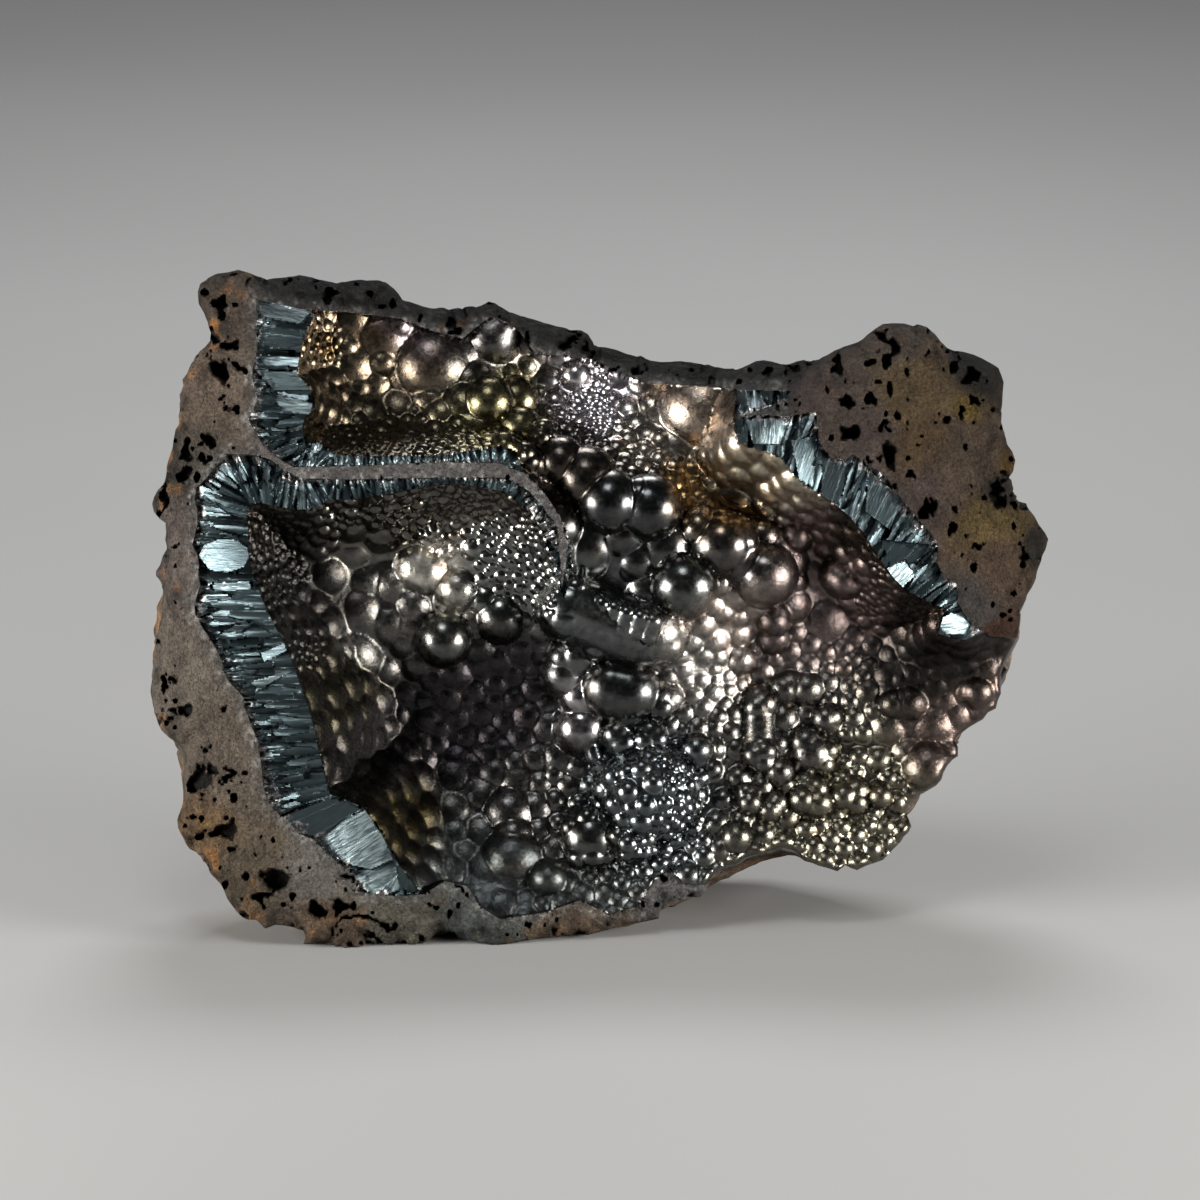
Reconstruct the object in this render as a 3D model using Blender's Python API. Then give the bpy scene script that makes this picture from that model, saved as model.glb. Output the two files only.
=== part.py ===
"""A broken piece of a goethite vug, at its real size in metres, +Z up.

Brown limonite matrix carries one crust of goethite: a band of radiating fibres where it is broken
across, and a skin of bubbles inside the hollow. The piece stands on a flat cut and leans back a
little. Its face is drawn as a relief on the leaning plane: p runs to the right, q up the plane and
depth runs away from the viewer. Outlines are in picture points (right, down), 7.5 to a millimetre.
"""
import math

import bmesh
import bpy
import numpy as np
from mathutils import Vector
from mathutils.geometry import delaunay_2d_cdt

MM = 0.001

# Driving dimensions
WIDTH = 0.120
OUTLINE_WIDTH_POINTS = 896
POINT = WIDTH / OUTLINE_WIDTH_POINTS
PLANE_ORIGIN = (600, 958)
LEAN = math.radians(12)
STANDING_POINT = 0.034
BACK_DEPTH_LOW = 0.052
BACK_DEPTH_HIGH = 0.043
HEIGHT = 0.092
CRUST_THICKNESS = 0.008
CRUST_TAPER = 0.87
CRUST_LIP = 0.003
CRUST_LIP_EXTRA = 0.0035
CRUST_REAR_STEP = 0.0015
GAP = 0.0003
EDGE_ROLL = 0.0024
WALL_STEP = 0.0008
WALL_SLOPE = 1.5
WALL_ROUNDING = 0.003
BAND_SINK = 0.0005
FACETS = 260
FACET_STRETCH = 0.3
FACET_LIMIT = 0.0012
SIDE_SQUARENESS = 3.2
FOOT_SQUARENESS = 3.5

# Sampling
STEP = 0.0005
RING_STEP = 0.0011
BACK_RINGS = 34
FACES_WANTED = 6200
CUTTER_GRID = 0.006

# The outline of the whole piece, clockwise from the top left corner
OUTLINE = [
    (200, 284), (214, 274), (238, 269), (266, 279), (300, 276), (341, 287), (358, 279), (384, 280),
    (398, 293), (420, 304), (452, 316), (472, 310), (488, 300), (510, 311), (530, 327), (581, 328),
    (593, 340), (603, 360), (636, 359), (682, 360), (714, 375), (757, 359), (805, 358), (834, 351),
    (863, 339), (884, 323), (914, 325), (928, 326), (942, 341), (966, 351), (1000, 367), (1004, 395),
    (1002, 422), (1016, 460), (1010, 486), (1028, 503), (1050, 539), (1040, 568), (1022, 606),
    (1016, 644), (1002, 672), (1003, 694), (985, 720), (957, 741), (960, 757), (943, 780),
    (912, 802), (908, 815), (913, 827), (902, 843), (876, 864), (858, 871), (846, 866), (838, 872),
    (810, 862), (790, 849), (764, 855), (736, 864), (714, 873), (706, 893), (661, 908), (659, 919),
    (622, 926), (572, 936), (520, 941), (497, 949), (462, 937), (440, 929), (424, 942), (398, 941),
    (367, 941), (356, 958), (342, 948), (304, 943), (296, 927), (266, 928), (250, 919), (233, 905),
    (222, 884), (197, 852), (182, 836), (177, 820), (184, 790), (189, 755), (170, 738), (154, 713),
    (151, 680), (156, 655), (165, 600), (156, 574), (168, 548), (166, 523), (152, 504), (165, 478),
    (176, 430), (180, 395), (191, 366), (211, 341), (204, 313)]
OUTLINE_CENTRE = (590, 600)

# Where the crust meets the matrix, with the thin core of the septum as a slot
CRUST_EDGE = [
    (257, 300), (300, 309), (350, 312), (400, 318), (430, 330), (462, 338), (476, 326), (490, 316),
    (506, 319), (520, 331), (535, 352), (590, 357), (612, 368), (645, 382), (705, 385), (738, 389),
    (790, 391), (786, 402), (765, 408), (742, 417), (785, 417), (815, 412), (818, 440), (830, 458),
    (852, 455), (870, 467), (888, 480), (902, 500), (918, 520), (935, 540), (937, 560), (955, 582),
    (957, 602), (968, 620), (990, 636), (1040, 640), (1030, 700), (1000, 745), (975, 790),
    (940, 850), (880, 890), (840, 890), (780, 872), (735, 884), (715, 874), (706, 886), (682, 884),
    (670, 870), (655, 880), (640, 905), (610, 915), (580, 900), (545, 912), (500, 918), (480, 905),
    (468, 885), (445, 880), (425, 893), (398, 895), (358, 890), (355, 872), (322, 845), (315, 838),
    (300, 832), (292, 822), (275, 808), (265, 785), (262, 755), (250, 715), (246, 697), (232, 682),
    (224, 660), (211, 637), (197, 615), (202, 585), (201, 565), (194, 545), (199, 510), (198, 488),
    (215, 470), (230, 455), (262, 456), (285, 470), (302, 479), (340, 480), (440, 478), (500, 478),
    (530, 492), (545, 510), (556, 528), (558, 560), (562, 590), (566, 560), (568, 540), (560, 516),
    (545, 494), (525, 474), (500, 464), (440, 463), (360, 467), (303, 468), (284, 462), (272, 452),
    (254, 428), (255, 410), (259, 400), (254, 370), (258, 345)]
CRUST_CENTRE = (590, 620)

# Where the broken fibres end and the skin of the hollow starts
HOLLOW_EDGE = [
    (250, 280), (315, 315), (303, 345), (298, 375), (314, 398), (306, 418), (312, 445), (335, 455),
    (420, 457), (500, 447), (515, 452), (540, 500), (565, 530), (571, 565), (564, 598), (556, 565),
    (545, 535), (530, 510), (505, 492), (460, 484), (410, 490), (350, 500), (312, 510), (262, 503),
    (248, 515), (251, 560), (270, 612), (292, 655), (308, 700), (324, 763), (332, 793), (367, 808),
    (392, 850), (420, 890), (430, 940), (720, 980), (1080, 900), (1080, 640), (1000, 618),
    (945, 608), (908, 592), (885, 567), (862, 532), (835, 505), (808, 488), (785, 463), (765, 452),
    (738, 443), (732, 370), (600, 330), (480, 280)]

# Depth of the broken rim and of the rock around it: right, down, millimetres
RIM_DEPTH = [
    (200, 280, 10), (240, 300, 7), (250, 380, 5), (180, 430, 8), (220, 450, 5), (152, 500, 10),
    (190, 540, 6), (156, 620, 10), (195, 620, 6), (152, 700, 11), (200, 700, 5), (230, 760, 4),
    (180, 810, 9), (240, 880, 6), (300, 900, 5), (350, 940, 6), (430, 920, 6), (500, 935, 8),
    (580, 925, 10), (640, 915, 11), (700, 890, 13), (300, 470, 5), (400, 465, 5), (500, 458, 6),
    (545, 500, 6), (565, 560, 8), (740, 400, 11), (790, 405, 9), (830, 430, 8), (860, 480, 8),
    (900, 530, 8), (940, 600, 9), (965, 640, 11), (840, 360, 11), (900, 330, 14), (970, 365, 14),
    (1000, 420, 12), (900, 440, 8), (960, 500, 9), (1000, 560, 11), (1045, 540, 15),
    (1012, 620, 13), (1000, 690, 17), (300, 280, 14), (380, 290, 16), (430, 310, 18),
    (490, 305, 18), (560, 335, 20), (640, 365, 22), (720, 375, 20), (780, 365, 16),
    (720, 865, 16), (800, 855, 17), (880, 860, 18), (910, 810, 18), (950, 750, 18)]

# Depth of the floor of the hollow under its bubbles
FLOOR_DEPTH = [
    (360, 330, 16), (420, 345, 17), (400, 380, 17), (470, 330, 18), (560, 350, 22), (620, 380, 23),
    (700, 380, 21), (520, 400, 20), (600, 420, 19), (680, 450, 18), (760, 420, 18), (740, 480, 18),
    (800, 520, 18), (360, 440, 13), (480, 400, 15), (540, 440, 13), (600, 490, 11), (640, 520, 11),
    (700, 540, 12), (765, 575, 14), (580, 610, 14), (640, 650, 14), (690, 690, 16), (330, 560, 12),
    (400, 540, 14), (440, 640, 15), (480, 720, 18), (400, 700, 17), (350, 740, 14), (430, 800, 16),
    (520, 780, 17), (560, 700, 17), (650, 795, 15), (600, 840, 15), (740, 800, 16), (820, 820, 17),
    (880, 780, 19), (900, 720, 19), (960, 700, 19), (820, 640, 20), (760, 640, 19), (880, 620, 21),
    (940, 660, 17), (450, 870, 13), (550, 900, 11), (680, 875, 13), (845, 560, 20)]

# Bubbles that are known one by one: right, down, radius, share of the radius sunk in the floor
BUBBLES = [
    (490, 338, 30, 0.5), (488, 402, 27, 0.2), (515, 400, 26, 0.2), (520, 427, 22, 0.2),
    (540, 441, 20, 0.2), (560, 463, 28, 0.1), (586, 479, 34, 0.1), (700, 530, 22, 0.3),
    (722, 545, 34, 0.2), (765, 575, 34, 0.2), (684, 586, 35, 0.0), (443, 640, 29, -0.1),
    (655, 700, 25, 0.2), (620, 738, 22, 0.3), (650, 740, 22, 0.3), (650, 795, 53, 0.2),
    (590, 840, 33, 0.2), (632, 842, 28, 0.2), (548, 880, 15, 0.2), (500, 830, 27, 0.4),
    (455, 590, 20, 0.3), (500, 618, 16, 0.3), (420, 570, 26, 0.6), (700, 400, 34, 0.6),
    (575, 375, 18, 0.2), (845, 578, 22, 0.3), (785, 518, 10, 0.2), (797, 535, 12, 0.2),
    (740, 660, 18, 0.3), (775, 620, 15, 0.2), (775, 637, 14, 0.2), (785, 690, 18, 0.3),
    (808, 690, 20, 0.3), (828, 720, 14, 0.2), (812, 755, 24, 0.3), (697, 752, 14, 0.2),
    (733, 838, 16, 0.2), (748, 800, 16, 0.2), (770, 808, 14, 0.2), (810, 800, 22, 0.3),
    (850, 800, 18, 0.3), (880, 795, 15, 0.3), (930, 762, 14, 0.2), (982, 692, 10, 0.2),
    (895, 705, 11, 0.2), (915, 705, 11, 0.2), (430, 530, 15, 0.3), (395, 325, 20, 0.7),
    (380, 362, 18, 0.6), (430, 350, 20, 0.6)]

# Long ridges: two ends, radius at each end, share sunk in the floor
RIDGES = [
    ((612, 500), (650, 507), 34, 34, 0.0), ((570, 608), (632, 632), 34, 37, 0.0),
    ((632, 632), (652, 632), 37, 34, 0.0), ((612, 688), (628, 692), 35, 35, 0.1),
    ((760, 705), (760, 755), 17, 17, 0.1), ((770, 765), (787, 787), 11, 11, 0.1),
    ((568, 655), (575, 700), 12, 10, -0.6), ((575, 700), (595, 758), 10, 9, -0.5),
    ((722, 545), (765, 575), 28, 28, 0.3), ((505, 448), (545, 470), 14, 14, 0.3)]

# Fields of small bubbles: corners (left, top, right, bottom), radius range, number, share sunk
FIELDS = [
    ((325, 320, 470, 450), (10, 20), 60, 0.75),
    ((540, 360, 640, 430), (8, 15), 40, 0.6),
    ((690, 415, 810, 510), (10, 16), 60, 0.6),
    ((330, 505, 450, 548), (5, 9), 60, 0.4),
    ((330, 560, 600, 800), (12, 22), 90, 0.82),
    ((700, 590, 870, 700), (7, 12), 110, 0.5),
    ((700, 700, 960, 870), (7, 14), 150, 0.45),
    ((605, 750, 660, 850), (7, 11), 30, 0.3),
    ((440, 800, 600, 905), (8, 15), 50, 0.6),
    ((870, 640, 1010, 720), (6, 10), 60, 0.6)]

# Open pores in the broken matrix: right, down, half width, half height
PORES = [
    (220, 368, 9, 14), (233, 345, 5, 6), (234, 409, 6, 4), (211, 438, 7, 7), (190, 450, 7, 9),
    (189, 473, 8, 8), (166, 500, 3, 18), (166, 684, 4, 15), (185, 712, 7, 8), (203, 781, 12, 11),
    (231, 776, 3, 11), (225, 832, 13, 8), (280, 877, 17, 11), (317, 911, 8, 6), (336, 907, 6, 8),
    (222, 308, 4, 14), (362, 920, 22, 3), (870, 367, 8, 5), (839, 366, 6, 14), (848, 398, 12, 8),
    (871, 401, 4, 7), (886, 390, 6, 10), (898, 418, 4, 8), (851, 432, 16, 8), (880, 427, 5, 7),
    (891, 455, 9, 15), (910, 476, 5, 4), (932, 509, 8, 11), (948, 530, 7, 8), (960, 413, 5, 9),
    (997, 492, 12, 20), (975, 375, 14, 9), (566, 342, 10, 6), (620, 371, 8, 4), (330, 296, 12, 5)]
PORE_DEPTH = 0.0022
PORE_REACH = 1.35
PORE_SOFTNESS = 0.6

# Broken flats on the sides and the back: direction (p, q, depth), millimetres from the middle
FLATS = [
    ((-0.85, 0.35, 0.40), 48), ((-0.70, -0.30, 0.65), 46), ((0.80, 0.25, 0.55), 46),
    ((0.60, -0.35, 0.70), 42), ((-0.25, 0.80, 0.55), 44), ((0.45, 0.75, 0.50), 42),
    ((0.05, 0.25, 0.97), 24), ((-0.30, 0.10, 0.95), 26)]
FLATS_MIDDLE_DEPTH = 0.022

# How the outline's teeth fade behind the face, in rings counted from it
OUTLINE_SMOOTHING = 9
SMOOTH_FROM_RING = 5
ROUGH_FROM_RING = 4

# Roughness: size of the lumps and their height in millimetres, seed
FACE_GRAIN = [(9, 0.9, 1), (4, 0.6, 2), (1.8, 0.3, 3)]
SIDE_GRAIN = [(16, 1.3, 11), (7, 0.8, 12), (3.2, 0.4, 13)]
FLOOR_GRAIN = [(6, 0.7, 6)]
WALL_GRAIN = [(7, 0.9, 62)]
SIDE_PITS = (4, 3.0, 14)
SIDE_PIT_LEVEL = 0.45

# The blocks that cut the pieces apart and cut the flat underside
BLOCK_FRONT = -0.030
FLOOR_BLOCK_REACH = 0.3
FLOOR_BLOCK_DEPTH = 0.1


def plane_points(points):
    """Picture points (right, down) as rows of (p, q) on the leaning plane, in metres."""
    values = np.array(points, dtype=float)
    return np.column_stack([values[:, 0] - PLANE_ORIGIN[0], PLANE_ORIGIN[1] - values[:, 1]]) * POINT


def depth_points(points):
    """Rows of (p, q, depth) in metres from (right, down, millimetres)."""
    values = np.array(points, dtype=float)
    return np.column_stack([plane_points(values[:, :2]), values[:, 2] * MM])


def signed_distance(p, q, polygon):
    """Distance to a closed polygon, positive inside it."""
    nearest = np.full(p.shape, np.inf)
    inside = np.zeros(p.shape, dtype=bool)
    for (ax, ay), (bx, by) in zip(polygon, np.roll(polygon, -1, axis=0)):
        dx = bx - ax
        dy = by - ay
        along = np.clip(((p - ax) * dx + (q - ay) * dy) / (dx * dx + dy * dy), 0, 1)
        nearest = np.minimum(nearest, np.hypot(p - ax - along * dx, q - ay - along * dy))
        if dy:
            inside ^= ((ay > q) != (by > q)) & (p < dx * (q - ay) / dy + ax)
    return np.where(inside, nearest, -nearest)


def bent_plate(p, q, controls):
    """A thin plate bent smoothly through control points (p, q, depth)."""
    x = controls[:, 0] / WIDTH
    y = controls[:, 1] / WIDTH
    count = len(x)

    def kernel(square):
        return square * np.log(square + 1e-12)

    system = np.zeros((count + 3, count + 3))
    system[:count, :count] = kernel((x[:, None] - x) ** 2 + (y[:, None] - y) ** 2)
    system[:count, count:] = np.column_stack([np.ones(count), x, y])
    system[count:, :count] = system[:count, count:].T
    weights = np.linalg.solve(system, np.append(controls[:, 2], [0, 0, 0]))
    result = weights[count] + weights[count + 1] * p / WIDTH + weights[count + 2] * q / WIDTH
    for cx, cy, weight in zip(x, y, weights):
        result = result + weight * kernel((p / WIDTH - cx) ** 2 + (q / WIDTH - cy) ** 2)
    return result


def grain(x, y, z, size, seed):
    """Smooth noise from -1 to 1 with lumps of the given size."""
    lattice = np.random.default_rng(seed).uniform(-1, 1, (32, 32, 32))
    cells = []
    shares = []
    for value in (x, y, z):
        place = np.asarray(value) / size + 100.5
        low = np.floor(place).astype(int)
        share = place - low
        cells.append((low % 32, (low + 1) % 32))
        shares.append(share * share * (3 - 2 * share))
    total = 0.0
    for i in (0, 1):
        for j in (0, 1):
            for k in (0, 1):
                weight = ((shares[0] if i else 1 - shares[0]) * (shares[1] if j else 1 - shares[1])
                          * (shares[2] if k else 1 - shares[2]))
                total = total + weight * lattice[cells[0][i], cells[1][j], cells[2][k]]
    return total


def rough(x, y, z, layers):
    """Sum of the layers of lumps, in metres."""
    return sum(grain(x, y, z, size * MM, seed) * height * MM for size, height, seed in layers)


def stamp_bubble(depth, p, q, centre, radius, centre_depth):
    """Raise a ball out of the relief."""
    square = radius ** 2 - (p - centre[0]) ** 2 - (q - centre[1]) ** 2
    ball = centre_depth - np.sqrt(np.maximum(square, 0))
    np.copyto(depth, np.minimum(depth, ball), where=square > 0)


def stamp_ridge(depth, p, q, start, end, radii, centre_depths):
    """Raise a sausage between two ends out of the relief."""
    run = end - start
    along = np.clip(((p - start[0]) * run[0] + (q - start[1]) * run[1]) / (run @ run), 0, 1)
    radius = radii[0] + (radii[1] - radii[0]) * along
    middle = centre_depths[0] + (centre_depths[1] - centre_depths[0]) * along
    square = radius ** 2 - (p - start[0] - along * run[0]) ** 2 - (q - start[1] - along * run[1]) ** 2
    body = middle - np.sqrt(np.maximum(square, 0))
    np.copyto(depth, np.minimum(depth, body), where=square > 0)


def depth_at(depth, grid_p, grid_q, p, q):
    """Read the relief between its grid points."""
    i = np.clip((np.asarray(p) - grid_p[0, 0]) / STEP, 0, depth.shape[1] - 1.001)
    j = np.clip((np.asarray(q) - grid_q[0, 0]) / STEP, 0, depth.shape[0] - 1.001)
    left = i.astype(int)
    low = j.astype(int)
    u = i - left
    v = j - low
    return ((1 - u) * (1 - v) * depth[low, left] + u * (1 - v) * depth[low, left + 1]
            + (1 - u) * v * depth[low + 1, left] + u * v * depth[low + 1, left + 1])


def scatter(count, corners, radii, seed):
    """Bubble places of random radius that hardly overlap, the big ones first."""
    random = np.random.default_rng(seed)
    places = []
    for radius in np.linspace(radii[1], radii[0], count):
        for _ in range(12):
            u = random.uniform(corners[0], corners[2])
            v = random.uniform(corners[1], corners[3])
            if all(math.hypot(u - a, v - b) > 0.72 * (radius + r) for a, b, r in places):
                places.append((u, v, radius))
                break
    return places


def splinters(p, q, band, direction, seed):
    """Tilted facets of broken fibre bundles, long across the band."""
    random = np.random.default_rng(seed)
    rows, columns = np.nonzero(band)
    picks = random.choice(len(rows), size=FACETS, replace=False)
    best = np.full(p.shape, np.inf)
    relief = np.zeros(p.shape)
    for pick in picks:
        row, column = rows[pick], columns[pick]
        nx, ny = direction[0][row, column], direction[1][row, column]
        dx = p - p[row, column]
        dy = q - q[row, column]
        distance = np.hypot((dx * nx + dy * ny) * FACET_STRETCH, dx * ny - dy * nx)
        tilt_along, tilt_across, lift = random.normal(0, (0.10, 0.22, 0.35 * MM))
        facet = lift + (dx * nx + dy * ny) * tilt_along + (dx * ny - dy * nx) * tilt_across
        closer = distance < best
        best = np.where(closer, distance, best)
        relief = np.where(closer, facet, relief)
    return np.clip(relief, -FACET_LIMIT, FACET_LIMIT)


def matrix_relief(p, q, rim):
    """The broken face of the matrix: rough, with open pores."""
    depth = rim + rough(p, q, 0, FACE_GRAIN)
    warp_p = p + grain(p, q, 0, 1.5 * MM, 4) * 0.35 * MM
    warp_q = q + grain(p, q, 0, 1.5 * MM, 5) * 0.35 * MM
    for u, v, half_width, half_height in PORES:
        centre = plane_points([(u, v)])[0]
        reach = np.hypot((warp_p - centre[0]) / (half_width * POINT),
                         (warp_q - centre[1]) / (half_height * POINT))
        depth += PORE_DEPTH * np.clip((PORE_REACH - reach) / PORE_SOFTNESS, 0, 1)
    return depth


def hollow_relief(p, q, rim, inside):
    """The skin of the hollow: a bowl whose walls round into its floor, full of bubbles."""
    floor = bent_plate(p, q, depth_points(FLOOR_DEPTH))
    floor = floor + rough(p, q, 0, FLOOR_GRAIN)
    wall = rim + WALL_STEP + WALL_SLOPE * np.maximum(inside, 0)
    wall = wall + rough(p, q, 0, WALL_GRAIN) * np.clip(inside / (2 * MM), 0, 1)
    share = np.clip(0.5 + 0.5 * (wall - floor) / WALL_ROUNDING, 0, 1)
    base = wall * (1 - share) + floor * share - WALL_ROUNDING * share * (1 - share)
    depth = base.copy()

    def base_depth(centre):
        return float(depth_at(base, p, q, centre[0], centre[1]))

    for index, (corners, radii, count, sunk) in enumerate(FIELDS):
        for u, v, radius in scatter(count, corners, radii, 20 + index):
            centre = plane_points([(u, v)])[0]
            size = radius * POINT
            stamp_bubble(depth, p, q, centre, size, base_depth(centre) + sunk * size)
    for u, v, radius, sunk in BUBBLES:
        centre = plane_points([(u, v)])[0]
        size = radius * POINT
        stamp_bubble(depth, p, q, centre, size, base_depth(centre) + sunk * size)
    for start, end, first, last, sunk in RIDGES:
        ends = plane_points([start, end])
        sizes = np.array([first, last]) * POINT
        depths = [base_depth(ends[0]) + sunk * sizes[0], base_depth(ends[1]) + sunk * sizes[1]]
        stamp_ridge(depth, p, q, ends[0], ends[1], sizes, depths)
    return depth


def face_relief(p, q):
    """Depth of the whole face that the viewer sees."""
    outline = signed_distance(p, q, plane_points(OUTLINE))
    crust = signed_distance(p, q, plane_points(CRUST_EDGE))
    hollow = signed_distance(p, q, plane_points(HOLLOW_EDGE))
    rim = bent_plate(p, q, depth_points(RIM_DEPTH))
    rise_q, rise_p = np.gradient(hollow)
    length = np.hypot(rise_p, rise_q) + 1e-12
    fibres = (crust > 0) & (hollow <= 0)
    facets = splinters(p, q, fibres, (rise_p / length, rise_q / length), 7)
    band = rim + BAND_SINK + facets * np.clip(-hollow / MM, 0, 1)
    skin = hollow_relief(p, q, rim, hollow)
    depth = np.where(crust > 0, np.where(hollow > 0, skin, band), matrix_relief(p, q, rim))
    near_edge = np.clip(1 - outline / EDGE_ROLL, 0, 0.98)
    return depth + EDGE_ROLL * (1 - np.sqrt(1 - near_edge ** 2))


def spaced_ring(polygon, step):
    """Points along a closed polygon, no further apart than step."""
    points = []
    for start, end in zip(polygon, np.roll(polygon, -1, axis=0)):
        pieces = max(1, math.ceil(np.linalg.norm(end - start) / step))
        for k in range(pieces):
            points.append(start + (end - start) * k / pieces)
    return np.array(points)


def smoothed_ring(values, width):
    """Running mean round a closed ring."""
    total = np.zeros_like(values)
    for shift in range(-width, width + 1):
        total += np.roll(values, shift)
    return total / (2 * width + 1)


def side_profile(radius, reach, squareness):
    """Shares of radius and depth at even steps along a rounded back profile."""
    turn = np.linspace(0, math.pi / 2, 600)
    inward = np.cos(turn) ** (2 / squareness)
    backward = np.sin(turn) ** (2 / squareness)
    length = np.append(0, np.cumsum(np.hypot(np.diff(inward) * radius, np.diff(backward) * reach)))
    stops = np.linspace(0, length[-1], BACK_RINGS + 1)[:-1]
    return np.interp(stops, length, inward), np.interp(stops, length, backward)


def back_rings(ring, ring_depth):
    """Rings of (p, q, depth) from the outline round the sides to the back."""
    centre = plane_points([OUTLINE_CENTRE])[0]
    arms = ring - centre
    radius = np.hypot(arms[:, 0], arms[:, 1])
    direction = arms / radius[:, None]
    smooth_radius = smoothed_ring(radius, OUTLINE_SMOOTHING)
    rings = np.zeros((BACK_RINGS, len(ring), 3))
    for i in range(len(ring)):
        downward = 0.5 - 0.5 * direction[i, 1]
        squareness = SIDE_SQUARENESS + FOOT_SQUARENESS * downward ** 2
        inward, backward = side_profile(radius[i], BACK_DEPTH_LOW, squareness)
        blend = np.clip(np.arange(BACK_RINGS) / SMOOTH_FROM_RING, 0, 1)
        reach = (radius[i] * (1 - blend) + smooth_radius[i] * blend) * inward
        p = centre[0] + direction[i, 0] * reach
        q = centre[1] + direction[i, 1] * reach
        back = BACK_DEPTH_LOW + (BACK_DEPTH_HIGH - BACK_DEPTH_LOW) * q / HEIGHT
        rings[:, i, 0] = p
        rings[:, i, 1] = q
        rings[:, i, 2] = ring_depth[i] + (back - ring_depth[i]) * backward
    return roughened(rings, centre)


def roughened(rings, centre):
    """Give the sides and the back broken flats, lumps and grit."""
    middle = np.array([centre[0], centre[1], FLATS_MIDDLE_DEPTH])
    arms = rings - middle
    grown = np.clip(np.arange(BACK_RINGS) / ROUGH_FROM_RING, 0, 1)[:, None, None]
    factor = np.ones(rings.shape[:2])
    for normal, distance in FLATS:
        normal = np.array(normal) / np.linalg.norm(normal)
        height = arms @ normal
        limit = distance * MM / np.maximum(height, distance * MM)
        factor = np.minimum(factor, limit)
    arms = arms * (1 + (factor[:, :, None] - 1) * grown)
    place = middle + arms
    x, y, z = place[:, :, 0], place[:, :, 1], place[:, :, 2]
    pit_size, pit_depth, pit_seed = SIDE_PITS
    pits = np.clip(grain(x, y, z, pit_size * MM, pit_seed) - SIDE_PIT_LEVEL, 0, 1)
    bump = rough(x, y, z, SIDE_GRAIN) - pits * pit_depth * MM
    unit = arms / np.linalg.norm(arms, axis=2)[:, :, None]
    return place + unit * bump[:, :, None] * grown


def to_world(rows):
    """Place (p, q, depth) rows in the world: the plane leans back from upright."""
    p, q, depth = np.asarray(rows).T
    y = q * math.sin(LEAN) + depth * math.cos(LEAN) - STANDING_POINT
    z = q * math.cos(LEAN) - depth * math.sin(LEAN)
    return np.column_stack([p, y, z])


def triangulate(ring, inner):
    """Triangles between a closed ring of plane points and the points inside it."""
    points = [Vector(row) for row in np.vstack([ring, inner])]
    edges = [(i, (i + 1) % len(ring)) for i in range(len(ring))]
    corners, _, faces, *_ = delaunay_2d_cdt(points, edges, [], 1, 1e-9)
    if len(corners) != len(points):
        raise ValueError("the outline crosses itself")
    return [tuple(face) for face in faces]


def grid_inside(polygon, step, margin):
    """Grid points at least margin inside a polygon."""
    low = polygon.min(axis=0)
    high = polygon.max(axis=0)
    p, q = np.meshgrid(np.arange(low[0], high[0], step), np.arange(low[1], high[1], step))
    keep = signed_distance(p, q, polygon) > margin
    return np.column_stack([p[keep], q[keep]])


def make_object(name, points, faces):
    """A mesh object from world points, its faces turned outwards."""
    mesh = bpy.data.meshes.new(name)
    mesh.from_pydata([tuple(row) for row in points], [], faces)
    body = bmesh.new()
    body.from_mesh(mesh)
    bmesh.ops.recalc_face_normals(body, faces=body.faces)
    body.to_mesh(mesh)
    body.free()
    obj = bpy.data.objects.new(name, mesh)
    bpy.context.scene.collection.objects.link(obj)
    return obj


def whole_piece():
    """The closed, finely meshed body of the whole piece, before it is parted."""
    outline = plane_points(OUTLINE)
    low = outline.min(axis=0) - 4 * STEP
    high = outline.max(axis=0) + 4 * STEP
    p, q = np.meshgrid(np.arange(low[0], high[0], STEP), np.arange(low[1], high[1], STEP))
    relief = face_relief(p, q)
    ring = spaced_ring(outline, RING_STEP)
    inner = grid_inside(outline, STEP, 0.6 * STEP)
    front = np.vstack([ring, inner])
    front = np.column_stack([front, depth_at(relief, p, q, front[:, 0], front[:, 1])])
    faces = triangulate(ring, inner)
    rings = back_rings(ring, front[:len(ring), 2])
    count = len(ring)
    first = len(front)
    rows = [list(range(count))]
    for k in range(1, BACK_RINGS):
        rows.append(list(range(first + (k - 1) * count, first + k * count)))
    points = np.vstack([front] + [rings[k] for k in range(1, BACK_RINGS)])
    for near, far in zip(rows, rows[1:]):
        for i in range(count):
            j = (i + 1) % count
            faces.append((near[i], far[i], far[j], near[j]))
    pole = len(points)
    points = np.vstack([points, rings[-1].mean(axis=0)])
    for i in range(count):
        faces.append((rows[-1][i], pole, rows[-1][(i + 1) % count]))
    return make_object("whole_piece", to_world(points), faces)


def grown_ring(ring, distance):
    """Move each point of a clockwise ring outwards."""
    before = ring - np.roll(ring, 1, axis=0)
    after = np.roll(ring, -1, axis=0) - ring
    across = before / np.linalg.norm(before, axis=1)[:, None]
    across = across + after / np.linalg.norm(after, axis=1)[:, None]
    across = across / np.maximum(np.linalg.norm(across, axis=1)[:, None], 0.4)
    return ring + np.column_stack([-across[:, 1], across[:, 0]]) * distance


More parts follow.
